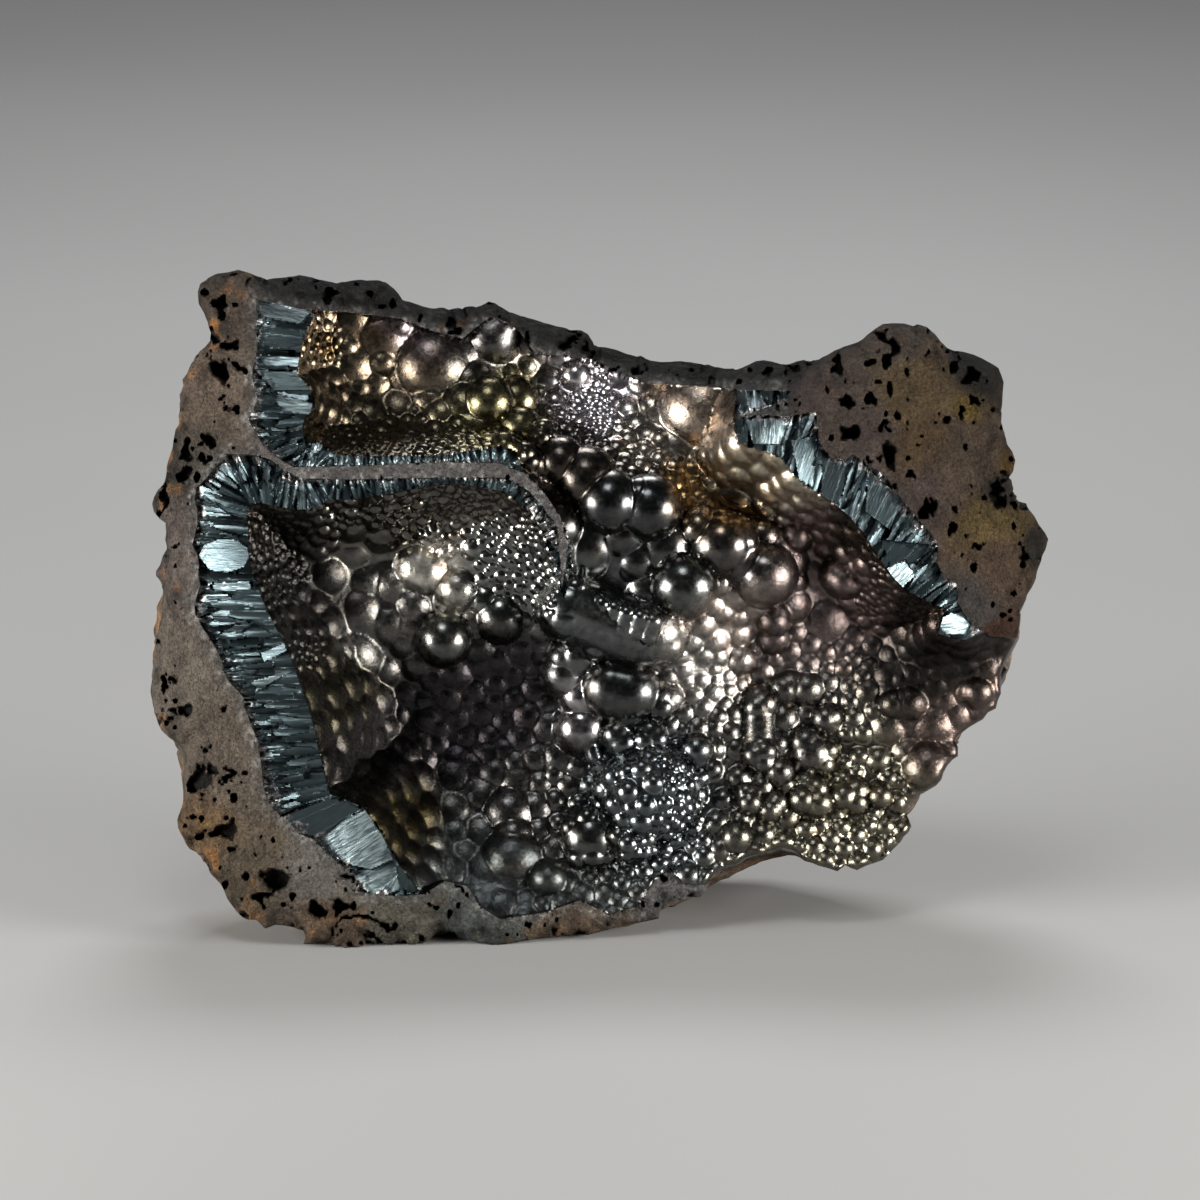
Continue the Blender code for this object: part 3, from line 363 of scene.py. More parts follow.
# Fans of fibres in the broken band: foot and head (right, down), half width at each end
FANS = [
    (256, 303, 312, 316, 5, 9), (256, 324, 308, 331, 5, 8), (256, 342, 304, 346, 5, 8),
    (255, 358, 300, 363, 4, 8), (254, 371, 299, 376, 3, 5), (256, 391, 314, 395, 6, 15),
    (255, 412, 313, 412, 4, 7), (258, 430, 305, 424, 5, 9), (266, 446, 303, 436, 4, 8),
    (278, 457, 302, 446, 4, 7), (290, 464, 308, 452, 4, 6),
    (240, 455, 256, 503, 7, 9), (262, 457, 268, 504, 6, 7), (224, 461, 250, 500, 6, 7),
    (208, 479, 254, 503, 5, 7), (196, 492, 252, 508, 5, 7), (197, 508, 249, 516, 6, 8),
    (197, 524, 250, 528, 6, 8), (195, 541, 251, 543, 6, 8), (198, 558, 252, 558, 8, 13),
    (200, 577, 256, 581, 5, 5), (200, 588, 262, 591, 4, 5), (196, 602, 266, 603, 6, 9),
    (198, 618, 276, 618, 7, 8), (206, 634, 283, 630, 7, 8), (214, 648, 290, 642, 6, 7),
    (222, 663, 296, 658, 6, 9), (228, 679, 302, 675, 7, 9), (240, 694, 308, 690, 7, 9),
    (246, 707, 312, 705, 6, 8), (251, 721, 316, 719, 7, 8), (256, 735, 319, 733, 7, 8),
    (260, 750, 321, 746, 7, 8), (263, 767, 325, 761, 8, 9), (266, 784, 329, 776, 8, 9),
    (274, 800, 333, 789, 8, 8), (286, 816, 335, 797, 6, 7), (300, 830, 352, 803, 8, 9),
    (322, 846, 372, 816, 9, 13), (345, 866, 388, 842, 8, 14), (358, 885, 398, 868, 6, 11),
    (390, 895, 405, 873, 8, 9), (416, 893, 412, 880, 7, 7),
    (742, 414, 740, 388, 4, 6), (755, 410, 753, 388, 4, 6), (769, 406, 768, 389, 4, 6),
    (784, 402, 785, 390, 4, 5), (744, 416, 744, 444, 5, 7), (758, 416, 757, 449, 5, 7),
    (772, 417, 768, 454, 5, 7), (787, 416, 780, 459, 5, 8), (804, 413, 790, 465, 7, 9),
    (818, 430, 802, 482, 8, 10), (822, 448, 812, 490, 6, 9), (838, 460, 824, 497, 7, 9),
    (855, 457, 838, 508, 7, 9), (870, 468, 850, 518, 7, 9), (883, 478, 861, 531, 7, 9),
    (896, 492, 868, 543, 7, 9), (908, 508, 876, 554, 7, 8), (922, 524, 886, 567, 8, 9),
    (934, 540, 896, 580, 8, 8), (938, 556, 906, 590, 7, 7), (946, 577, 920, 598, 6, 8),
    (957, 590, 938, 606, 7, 8), (960, 606, 944, 612, 6, 7), (975, 622, 943, 622, 6, 12)]
# Feet of the short fans round the septum between the two hollows
SEPTUM_FEET = [
    (312, 467), (360, 466), (440, 462), (500, 463), (522, 474), (543, 493), (558, 515), (566, 545),
    (562, 575), (561, 545), (554, 525), (543, 511), (528, 493), (508, 481), (440, 479), (340, 481),
    (285, 479)]

# Large broken faces of the fibres: corners, slope to the right and upward, lift in mm, shine. The shine is
# partly painted highlight: a high value paints a face pale silver where it catches the lights.
FACETS = [
    ([(285, 815), (330, 797), (350, 800), (362, 808), (320, 836), (290, 830)], 0.15, -0.10, 0.0, 0.35),
    ([(318, 838), (345, 818), (367, 808), (385, 835), (395, 858), (372, 868), (345, 862)],
     -0.28, 0.10, -0.2, 1.06),
    ([(350, 868), (372, 869), (395, 860), (402, 888), (380, 896), (360, 886)], -0.30, 0.25, 0.0, 1.0),
    ([(398, 858), (412, 862), (428, 882), (415, 893), (402, 888)], 0.10, -0.30, 0.2, 0.7),
    ([(200, 556), (206, 545), (220, 539), (238, 540), (250, 548), (252, 558), (246, 568), (230, 573),
      (212, 571)], -0.12, 0.05, -0.5, 0.75),
    ([(258, 303), (285, 298), (312, 312), (300, 325), (262, 318)], -0.30, 0.20, -0.2, 1.1),
    ([(262, 326), (300, 330), (305, 345), (275, 350), (258, 340)], -0.15, -0.15, 0.0, 0.8),
    ([(262, 357), (300, 357), (302, 368), (266, 366)], -0.45, 0.10, -0.1, 1.2),
    ([(256, 371), (300, 372), (314, 392), (275, 391)], 0.10, -0.10, 0.2, 0.15),
    ([(272, 393), (314, 404), (312, 416), (284, 412)], -0.42, 0.15, -0.1, 1.15),
    ([(214, 583), (252, 581), (254, 590), (216, 592)], -0.28, 0.20, -0.1, 0.9),
    ([(262, 652), (292, 640), (295, 648), (266, 662)], -0.28, 0.10, -0.1, 0.8),
    ([(745, 420), (787, 418), (782, 445), (752, 445)], 0.25, -0.30, 0.0, 0.95),
    ([(790, 440), (816, 436), (813, 488), (798, 480)], 0.30, 0.10, -0.1, 0.8),
    ([(822, 450), (850, 465), (838, 505), (820, 497)], 0.10, 0.30, 0.1, 0.35),
    ([(868, 470), (905, 500), (888, 530), (864, 512)], 0.20, 0.20, 0.0, 0.45),
    ([(880, 540), (930, 545), (915, 562), (890, 568)], 0.05, 0.30, 0.2, 0.1),
    ([(885, 568), (905, 560), (915, 576), (897, 592), (883, 585)], 0.36, 0.05, -0.2, 1.0),
    ([(935, 622), (950, 612), (972, 620), (965, 634), (945, 634)], 0.30, 0.10, -0.2, 1.05)]

# The line above which the stone is almost black: right, down
DARK_LINE = [
    (150, 200), (236, 250), (262, 292), (330, 306), (430, 324), (480, 318), (520, 336), (600, 364),
    (700, 386), (800, 378), (835, 345), (870, 250), (1060, 200)]

# Large pores: right, down, half width, half height
PORES = [
    (220, 368, 9, 14), (233, 345, 5, 6), (234, 409, 6, 4), (211, 438, 7, 7), (190, 450, 7, 9),
    (189, 473, 8, 8), (166, 500, 3, 18), (166, 684, 4, 15), (185, 712, 7, 8), (203, 781, 12, 11),
    (231, 776, 3, 11), (225, 832, 13, 8), (280, 877, 17, 11), (317, 911, 8, 6), (336, 907, 6, 8),
    (222, 308, 4, 14), (362, 920, 22, 3), (870, 367, 8, 5), (839, 366, 6, 14), (848, 398, 12, 8),
    (871, 401, 4, 7), (886, 390, 6, 10), (898, 418, 4, 8), (851, 432, 16, 8), (880, 427, 5, 7),
    (891, 455, 9, 15), (910, 476, 5, 4), (932, 509, 8, 11), (948, 530, 7, 8), (960, 413, 5, 9),
    (997, 492, 12, 20), (975, 375, 14, 9), (566, 342, 10, 6), (620, 371, 8, 4), (330, 296, 12, 5)]

# Where the matrix is full of small pores: right, down, reach
PORE_ZONES = [
    (225, 345, 45), (190, 455, 35), (175, 705, 30), (205, 785, 40), (215, 840, 35), (270, 885, 40),
    (330, 915, 40), (850, 400, 45), (885, 450, 35), (930, 520, 30), (960, 410, 25), (880, 345, 30)]

# Broken flats of the sides and the back: direction and distance from the middle in mm
FLATS = [
    ((-0.85, 0.35, 0.40), 48), ((-0.70, -0.30, 0.65), 46), ((0.80, 0.25, 0.55), 46),
    ((0.60, -0.35, 0.70), 42), ((-0.25, 0.80, 0.55), 44), ((0.45, 0.75, 0.50), 42),
    ((0.05, 0.25, 0.97), 24), ((-0.30, 0.10, 0.95), 26)]

# Tarnish of the skin: right, down, reach, colour, roughness. The pale colours at (425, 570), (455, 600),
# (582, 705) and (600, 395) are painted highlight: reflectance raised where facets, ridges and druse catch the
# lights.
TARNISH_AND_PAINTED_HIGHLIGHTS = [
    (588, 838, 24, (0.095, 0.100, 0.095), 0.20),
    (326, 345, 16, (0.050, 0.035, 0.016), 0.20), (455, 600, 20, (0.270, 0.270, 0.240), 0.30),
    (370, 345, 45, (0.157, 0.130, 0.092), 0.26), (400, 325, 30, (0.154, 0.130, 0.136), 0.26),
    (350, 425, 40, (0.068, 0.058, 0.041), 0.26), (500, 405, 35, (0.143, 0.130, 0.075), 0.24),
    (490, 340, 35, (0.102, 0.099, 0.095), 0.26), (580, 460, 40, (0.068, 0.061, 0.053), 0.22),
    (680, 480, 22, (0.226, 0.146, 0.066), 0.24), (735, 505, 22, (0.164, 0.102, 0.046), 0.18),
    (630, 505, 38, (0.068, 0.073, 0.076), 0.20), (700, 400, 38, (0.374, 0.313, 0.253), 0.28),
    (600, 395, 30, (0.772, 0.754, 0.796), 0.22), (650, 430, 35, (0.456, 0.418, 0.360), 0.24),
    (760, 465, 40, (0.395, 0.365, 0.288), 0.34), (860, 545, 32, (0.041, 0.034, 0.027), 0.26),
    (930, 610, 30, (0.034, 0.027, 0.024), 0.28), (800, 540, 26, (0.177, 0.143, 0.136), 0.32),
    (845, 590, 32, (0.143, 0.113, 0.109), 0.34), (740, 560, 30, (0.095, 0.090, 0.086), 0.20),
    (790, 625, 40, (0.119, 0.100, 0.096), 0.34), (735, 620, 34, (0.333, 0.297, 0.270), 0.34),
    (690, 650, 34, (0.232, 0.228, 0.214), 0.32), (684, 586, 30, (0.095, 0.104, 0.100), 0.21),
    (930, 670, 45, (0.028, 0.026, 0.024), 0.31), (850, 800, 60, (0.159, 0.152, 0.120), 0.26),
    (780, 740, 50, (0.120, 0.120, 0.112), 0.25), (950, 720, 40, (0.116, 0.092, 0.082), 0.32),
    (443, 640, 26, (0.120, 0.125, 0.118), 0.20),
    (470, 700, 60, (0.034, 0.032, 0.035), 0.28), (400, 620, 38, (0.119, 0.119, 0.112), 0.28),
    (380, 735, 38, (0.021, 0.020, 0.019), 0.24),
    (425, 570, 30, (0.504, 0.492, 0.446), 0.30), (505, 575, 30, (0.170, 0.180, 0.175), 0.17),
    (300, 600, 40, (0.017, 0.017, 0.016), 0.30), (345, 700, 30, (0.027, 0.025, 0.017), 0.26),
    (582, 705, 20, (0.346, 0.346, 0.352), 0.18), (625, 690, 32, (0.080, 0.086, 0.086), 0.21),
    (650, 790, 38, (0.122, 0.141, 0.150), 0.22), (600, 625, 36, (0.130, 0.141, 0.143), 0.20),
    (510, 880, 50, (0.065, 0.073, 0.073), 0.34), (520, 810, 40, (0.102, 0.102, 0.099), 0.24),
    (410, 820, 28, (0.017, 0.014, 0.007), 0.30), (400, 520, 40, (0.110, 0.110, 0.098), 0.15)]

# Stains of the matrix: right, down, reach, colour. The near-black spots at (975, 365) and (1000, 495) lie
# over large pores and are painted shade.
STAINS_AND_PORE_SHADE = [
    (220, 300, 40, (0.045, 0.036, 0.029)), (215, 380, 40, (0.069, 0.055, 0.044)),
    (190, 460, 30, (0.039, 0.034, 0.029)), (180, 560, 40, (0.067, 0.058, 0.054)),
    (185, 660, 50, (0.075, 0.066, 0.057)), (220, 740, 50, (0.067, 0.057, 0.047)),
    (200, 830, 25, (0.080, 0.055, 0.032)), (260, 870, 30, (0.054, 0.044, 0.032)),
    (257, 880, 8, (0.130, 0.070, 0.017)), (200, 824, 6, (0.150, 0.085, 0.020)),
    (320, 880, 30, (0.076, 0.073, 0.067)), (330, 930, 30, (0.061, 0.045, 0.032)),
    (400, 920, 30, (0.058, 0.055, 0.045)), (480, 925, 30, (0.039, 0.045, 0.044)),
    (570, 930, 30, (0.067, 0.050, 0.035)), (665, 890, 20, (0.075, 0.075, 0.076)),
    (400, 471, 60, (0.073, 0.069, 0.071)), (520, 485, 30, (0.071, 0.067, 0.071)),
    (300, 285, 30, (0.003, 0.003, 0.003)), (370, 290, 25, (0.004, 0.003, 0.003)),
    (430, 318, 25, (0.003, 0.003, 0.003)), (565, 338, 30, (0.003, 0.003, 0.003)),
    (670, 370, 30, (0.004, 0.003, 0.002)), (760, 372, 30, (0.005, 0.005, 0.005)),
    (830, 390, 30, (0.035, 0.027, 0.024)), (860, 430, 40, (0.035, 0.027, 0.024)),
    (900, 340, 30, (0.040, 0.031, 0.024)), (910, 390, 30, (0.049, 0.035, 0.018)),
    (920, 440, 25, (0.042, 0.027, 0.014)), (960, 450, 30, (0.034, 0.025, 0.018)),
    (975, 365, 22, (0.005, 0.005, 0.004)), (960, 415, 12, (0.049, 0.033, 0.008)),
    (930, 500, 30, (0.034, 0.025, 0.022)), (990, 525, 30, (0.049, 0.035, 0.014)),
    (995, 570, 30, (0.040, 0.027, 0.018)), (1035, 545, 15, (0.011, 0.009, 0.007)),
    (970, 600, 25, (0.027, 0.025, 0.024)), (1000, 630, 16, (0.027, 0.013, 0.008)),
    (1005, 462, 10, (0.055, 0.033, 0.008)), (1000, 495, 18, (0.009, 0.007, 0.006))]


def plane_points(points):
    """Picture points (right, down) as rows of (p, q) on the leaning plane."""
    values = np.array(points, dtype=float)
    return np.column_stack([values[:, 0] - PLANE_ORIGIN[0], PLANE_ORIGIN[1] - values[:, 1]]) * POINT


def plane_point(u, v):
    """One picture point as (p, q)."""
    return plane_points([(u, v)])[0]


def depth_points(points):
    """Rows of (p, q, depth) from (right, down, millimetres)."""
    values = np.array(points, dtype=float)
    return np.column_stack([plane_points(values[:, :2]), values[:, 2] * MM])


def nearest_on(p, q, polygon):
    """Signed distance to a closed polygon, positive inside, and the nearest place on it."""
    nearest = np.full(p.shape, np.inf)
    inside = np.zeros(p.shape, dtype=bool)
    foot_p = np.zeros(p.shape)
    foot_q = np.zeros(p.shape)
    for (ax, ay), (bx, by) in zip(polygon, np.roll(polygon, -1, axis=0)):
        dx = bx - ax
        dy = by - ay
        along = np.clip(((p - ax) * dx + (q - ay) * dy) / math.hypot(dx, dy) ** 2, 0, 1)
        x = ax + along * dx
        y = ay + along * dy
        distance = np.hypot(p - x, q - y)
        closer = distance < nearest
        nearest = np.where(closer, distance, nearest)
        foot_p = np.where(closer, x, foot_p)
        foot_q = np.where(closer, y, foot_q)
        if dy:
            inside ^= ((ay > q) != (by > q)) & (p < dx * (q - ay) / dy + ax)
    return np.where(inside, nearest, -nearest), foot_p, foot_q


def signed_distance(p, q, polygon):
    return nearest_on(p, q, polygon)[0]


def bent_plate(p, q, controls):
    """A thin plate bent smoothly through control points (p, q, depth)."""
    x = controls[:, 0] / WIDTH
    y = controls[:, 1] / WIDTH
    count = len(x)

    def kernel(square):
        return square * np.log(square + 1e-12)

    system = np.zeros((count + 3, count + 3))
    system[:count, :count] = kernel((x[:, None] - x) ** 2 + (y[:, None] - y) ** 2)
    system[:count, count:] = np.column_stack([np.ones(count), x, y])
    system[count:, :count] = system[:count, count:].T
    weights = np.linalg.solve(system, np.append(controls[:, 2], [0, 0, 0]))
    result = weights[count] + weights[count + 1] * p / WIDTH + weights[count + 2] * q / WIDTH
    for cx, cy, weight in zip(x, y, weights):
        result = result + weight * kernel((p / WIDTH - cx) ** 2 + (q / WIDTH - cy) ** 2)
    return result


def grain(x, y, z, size, seed):
    """Smooth noise from -1 to 1 with lumps of the given size."""
    lattice = np.random.default_rng(seed).uniform(-1, 1, (32, 32, 32))
    cells = []
    shares = []
    for value in (x, y, z):
        place = np.asarray(value) / size + 100.5
        low = np.floor(place).astype(int)
        share = place - low
        cells.append((low % 32, (low + 1) % 32))
        shares.append(share * share * (3 - 2 * share))
    total = 0.0
    for i in (0, 1):
        for j in (0, 1):
            for k in (0, 1):
                weight = ((shares[0] if i else 1 - shares[0]) * (shares[1] if j else 1 - shares[1])
                          * (shares[2] if k else 1 - shares[2]))
                total = total + weight * lattice[cells[0][i], cells[1][j], cells[2][k]]
    return total


def lumps(x, y, z, layers, shift=0):
    """Noises laid over each other: rows of lump size and height in millimetres, and seed."""
    return sum(grain(x, y, z, size * MM, seed + shift) * height * MM for size, height, seed in layers)


def creases(p, q, layers):
    """Like lumps, but all of it points away from the viewer, with creases between."""
    return sum(np.abs(grain(p, q, 0, size * MM, seed)) * height * MM for size, height, seed in layers)


def soft_spots(p, q, spots, seed):
    """Mix the spots' values by nearness, with a wandering border."""
    wander_p = p + lumps(p, q, 0, WANDER, seed)
    wander_q = q + lumps(p, q, 0, WANDER, seed + len(WANDER))
    width = len(spots[0][3]) + len(spots[0]) - 4
    total = np.zeros(p.shape + (width,))
    weights = np.full(p.shape, 1e-9)
    for spot in spots:
        centre = plane_point(*spot[:2])
        reach = spot[2] * POINT
        square = ((wander_p - centre[0]) ** 2 + (wander_q - centre[1]) ** 2) / reach ** 2
        weight = 1 / (SPOT_SOFTNESS + square) ** 3
        total += weight[..., None] * np.array(list(spot[3]) + list(spot[4:]))
        weights += weight
    return total / weights[..., None]


class Bubbles:
    """Balls and sausages that stand out of a relief."""

    def __init__(self):
        self.rows = []

    def add(self, start, end, radii, depths):
        self.rows.append((start, end, radii, depths))

    def stamp(self, p, q, depth):
        order = np.argsort(p)
        sorted_p = p[order]
        for start, end, radii, depths in self.rows:
            reach = max(radii)
            low = np.searchsorted(sorted_p, min(start[0], end[0]) - reach)
            high = np.searchsorted(sorted_p, max(start[0], end[0]) + reach)
            picked = order[low:high]
            x = p[picked] - start[0]
            y = q[picked] - start[1]
            run = end - start
            along = np.clip((x * run[0] + y * run[1]) / max(run @ run, 1e-18), 0, 1)
            radius = radii[0] + (radii[1] - radii[0]) * along
            middle = depths[0] + (depths[1] - depths[0]) * along
            square = radius ** 2 - (x - along * run[0]) ** 2 - (y - along * run[1]) ** 2
            body = middle - np.sqrt(np.maximum(square, 0))
            depth[picked] = np.where(square > 0, np.minimum(depth[picked], body), depth[picked])
        return depth


def wall_and_floor(p, q):
    """The bowl of the hollow under its bubbles: a wall that falls from the rim, rounded into the floor."""
    floor = bent_plate(p, q, FLOOR) + lumps(p, q, 0, FLOOR_GRAIN)
    inside = np.maximum(signed_distance(p, q, HOLLOW), 0)
    waver = lumps(p, q, 0, WALL_GRAIN) * np.clip(inside / WAVER_START, 0, 1)
    wall = bent_plate(p, q, RIM) + WALL_TOP + WALL_SLOPE * inside + waver
    share = np.clip(0.5 + 0.5 * (wall - floor) / WALL_ROUNDING, 0, 1)
    return wall * (1 - share) + floor * share - WALL_ROUNDING * share * (1 - share)


def big_bubbles():
    """The bubbles and sausages known one by one, standing in the bowl."""
    big = Bubbles()
    spots = plane_points([row[:2] for row in BUBBLES])
    base = wall_and_floor(spots[:, 0], spots[:, 1])
    for (_, _, radius, sunk), centre, depth in zip(BUBBLES, spots, base):
        size = radius * POINT
        big.add(centre, centre, (size, size), (depth + sunk * size, depth + sunk * size))
    for start, end, first, last, sunk in RIDGES:
        ends = plane_points([start, end])
        sizes = np.array([first, last]) * POINT
        depths = wall_and_floor(ends[:, 0], ends[:, 1]) + sunk * sizes
        big.add(ends[0], ends[1], sizes, depths)
    return big


def bare_bowl(p, q):
    return BIG.stamp(p, q, wall_and_floor(p, q))


def bowl_slope(p, q, step_p, step_q):
    """Slope of the bare bowl along a short step, held within a limit."""
    rise = bare_bowl(p + step_p, q + step_q) - bare_bowl(p - step_p, q - step_q)
    return np.clip(rise / (2 * SLOPE_STEP), -SLOPE_LIMIT, SLOPE_LIMIT)


def cell_seeds():
    """Centres and radii of the skin's cells, spread evenly over the bowl and its bubbles."""
    random = np.random.default_rng(31)
    low = np.maximum(CRUST.min(axis=0), HOLLOW.min(axis=0))
    high = CRUST.max(axis=0)
    p = random.uniform(low[0], high[0], CELL_TRIES)
    q = random.uniform(low[1], high[1], CELL_TRIES)
    keep = (signed_distance(p, q, HOLLOW) > 0) & (signed_distance(p, q, CRUST) > -CELL_OVERHANG)
    for u, v, radius in BARE:
        centre = plane_point(u, v)
        keep &= np.hypot(p - centre[0], q - centre[1]) > (radius + 1) * POINT
    p = p[keep]
    q = q[keep]
    kind = soft_spots(p, q, CELL_SPOTS, CELL_SPOT_SEED)
    base, fall, least, most = CELL_SPREAD
    spread = np.clip(base - fall * kind[:, 0], least, most)
    size = kind[:, 0] * CELL_GROWTH * POINT * (1 + spread * random.uniform(-1, 1, len(p)))
    stage = np.arange(len(p)) * len(CELL_SHARES) // len(p)
    size = size * np.array(CELL_SHARES)[stage]
    chosen = np.zeros((0, 4))
    picks = []
    for index, row in enumerate(np.column_stack([p, q, bare_bowl(p, q), size])):
        apart = np.sqrt(np.sum((chosen[:, :3] - row[:3]) ** 2, axis=1))
        if np.all(apart > CELL_PACKING * (chosen[:, 3] + row[3])):
            chosen = np.vstack([chosen, row])
            picks.append(index)
    slope_p = bowl_slope(p[picks], q[picks], SLOPE_STEP, 0)
    slope_q = bowl_slope(p[picks], q[picks], 0, SLOPE_STEP)
    normal = np.column_stack([slope_p, slope_q, -np.ones(len(picks))])
    normal /= np.linalg.norm(normal, axis=1)[:, None]
    radius = chosen[:, 3] * kind[picks, 1]
    rise = radius - np.sqrt(np.maximum(radius ** 2 - chosen[:, 3] ** 2, 0))
    print("cells", len(picks))
    return chosen[:, :3] - normal * (radius - rise)[:, None], radius


def small_cells():
    """The cells as balls whose caps stand out of the bowl."""
    small = Bubbles()
    for centre, radius in zip(*cell_seeds()):
        small.add(centre[:2], centre[:2], (radius, radius), (centre[2], centre[2]))
    return small


def spaced_ring(polygon, step):
    """Points along a closed polygon, no further apart than step."""
    points = []
    for start, end in zip(polygon, np.roll(polygon, -1, axis=0)):
        pieces = max(1, math.ceil(np.linalg.norm(end - start) / step))
        for k in range(pieces):
            points.append(start + (end - start) * k / pieces)
    return np.array(points)


def fan_rows():
    """All fans as rows of foot, head and half widths in picture points; short ones line the septum."""
    rows = list(FANS)
    random = np.random.default_rng(8)
    for u, v in spaced_ring(np.array(SEPTUM_FEET, dtype=float), SEPTUM_FIBRE):
        foot = plane_points([(u, v)])
        _, head_p, head_q = nearest_on(foot[:, 0], foot[:, 1], HOLLOW)
        head_u = head_p[0] / POINT + PLANE_ORIGIN[0] + random.uniform(-2, 2)
        head_v = PLANE_ORIGIN[1] - head_q[0] / POINT
        rows.append((u, v, head_u, head_v, random.uniform(2.0, 3.2), random.uniform(3.0, 4.4)))
    return rows


def fans_at(p, q):
    """For each point its fan, the share of the way along it and the share of its half width."""
    best = np.full(p.shape, np.inf)
    index = np.zeros(p.shape, dtype=int)
    along = np.zeros(p.shape)
    across = np.zeros(p.shape)
    for number, (u0, v0, u1, v1, w0, w1) in enumerate(FAN_ROWS):
        foot, head = plane_points([(u0, v0), (u1, v1)])
        run = head - foot
        length = np.linalg.norm(run)
        a = ((p - foot[0]) * run[0] + (q - foot[1]) * run[1]) / length ** 2
        c = ((p - foot[0]) * run[1] - (q - foot[1]) * run[0]) / length
        share = np.clip(a, 0, 1)
        width = (w0 + (w1 - w0) * share) * POINT
        beyond = np.maximum(np.abs(a - 0.5) - 0.5, 0) * length
        score = np.hypot(c, beyond * BEYOND_WEIGHT) / width
        closer = score < best
        best = np.where(closer, score, best)
        index = np.where(closer, number, index)
        along = np.where(closer, a, along)
        across = np.where(closer, c / width, across)
    return index, along, across


def splinter_seeds():
    """Broken splinters inside the fans: place, heading, tilts, lift and shine."""
    random = np.random.default_rng(7)
    seeds = []
    for u0, v0, u1, v1, w0, w1 in FAN_ROWS:
        foot, head = plane_points([(u0, v0), (u1, v1)])
        length = np.linalg.norm(head - foot)
        run = (head - foot) / length
        area = length * ((w0 + w1) * POINT)
        calm = CALM_TILT if u0 < CALM_RIGHT and CALM_TOP < v0 < CALM_BOTTOM else 1.0
        for first, last, spacing, tilt in (SPLINTERS_AT_FOOT, SPLINTERS_AT_HEAD):
            tilt = tilt * calm if first > 0 else tilt
            count = int(area * (last - first) / (spacing * MM * spacing * MM * SPLINTER_LENGTH)) + 1
            for _ in range(count):
                share = random.uniform(first, last)
                width = (w0 + (w1 - w0) * share) * POINT
                offset = random.uniform(-1, 1)
                spread = offset * (w1 - w0) * POINT / length + random.normal(0, HEADING_SCATTER)
                heading = math.atan2(run[1], run[0]) - spread
                place = foot + run * share * length + np.array([run[1], -run[0]]) * offset * width
                tilt_along = random.normal(0, TILT_ALONG * (calm if share > 0.3 else 1))
                seeds.append((place[0], place[1], math.cos(heading), math.sin(heading), tilt_along,
                              random.normal(0, tilt), random.normal(0, LIFT_SCATTER) * MM,
                              random.random()))
    return np.array(seeds)


def splinters(p, q):
    """Tilted facets of the splinters and of the large broken faces: relief and shine."""
    best = np.full(p.shape, np.inf)
    relief = np.zeros(p.shape)
    shine = np.zeros(p.shape)
    order = np.argsort(p)
    sorted_p = p[order]
    for x, y, hx, hy, tilt_along, tilt_across, lift, value in SPLINTERS:
        low = np.searchsorted(sorted_p, x - SPLINTER_REACH)
        high = np.searchsorted(sorted_p, x + SPLINTER_REACH)
        picked = order[low:high]
        dx = p[picked] - x
        dy = q[picked] - y
        along = dx * hx + dy * hy
        across = dx * hy - dy * hx
        distance = np.hypot(along * SPLINTER_SLIMNESS, across)
        closer = distance < best[picked]
        chosen = picked[closer]
        best[chosen] = distance[closer]
        relief[chosen] = lift + along[closer] * tilt_along + across[closer] * tilt_across
        shine[chosen] = value
    for corners, slope_p, slope_q, lift, value in FACETS:
        ring = plane_points(corners)
        centre = ring.mean(axis=0)
        inside = signed_distance(p, q, ring) > 0
        relief[inside] = lift * MM + (p[inside] - centre[0]) * slope_p + (q[inside] - centre[1]) * slope_q
        shine[inside] = value
    return np.clip(relief, -SPLINTER_RELIEF, SPLINTER_RELIEF), shine


def in_facets(p, q):
    """True where a large broken face lies."""
    inside = np.zeros(p.shape, dtype=bool)
    for corners, *_ in FACETS:
        inside |= signed_distance(p, q, plane_points(corners)) > 0
    return inside


def pore_mask(p, q):
    """How deep in a pore of the face each point lies, 0 to 1."""
    warp_p = p + lumps(p, q, 0, PORE_WARP)
    warp_q = q + lumps(p, q, 0, PORE_WARP, 1)
    deepest = np.zeros(p.shape)
    for u, v, half_width, half_height in PORES:
        centre = plane_point(u, v)
        reach = np.hypot((warp_p - centre[0]) / (half_width * POINT),
                         (warp_q - centre[1]) / (half_height * POINT))
        steepness = PORE_STEEPNESS_RIGHT if u > RIGHT_PORES else PORE_STEEPNESS_LEFT
        deepest = np.maximum(deepest, np.clip(PORE_CORE - reach * steepness, 0, 1))
    zone = np.zeros(p.shape)
    for u, v, reach in PORE_ZONES:
        centre = plane_point(u, v)
        near = 1.3 - np.hypot(p - centre[0], q - centre[1]) / (reach * POINT)
        zone = np.maximum(zone, np.clip(near, 0, 1))
    zone = np.maximum(zone, np.clip(1 - signed_distance(p, q, EDGE) / PORE_EDGE, 0, 1))
    small = grain(p, q, 0, 1.3 * MM, 16) + grain(p, q, 0, 0.6 * MM, 17) * 0.6 + zone * ZONE_PORES
    return np.maximum(deepest, np.clip((small - 0.45) / 0.6, 0, 1))


def band_relief(p, q):
    """The broken band: fans bulge, and splinters break them up."""
    _, along, across = fans_at(p, q)
    facets, _ = splinters(p, q)
    bulge = FAN_BULGE * (1 - np.minimum(np.abs(across) ** BULGE_POWER, 1.3)) * np.clip(along, 0.25, 1)
    bulge = np.where(in_facets(p, q), FACET_BULGE, bulge)
    return FAN_BULGE - bulge + facets + lumps(p, q, 0, FOOT_GRIT) * np.clip(1 - along * 2.2, 0, 1)


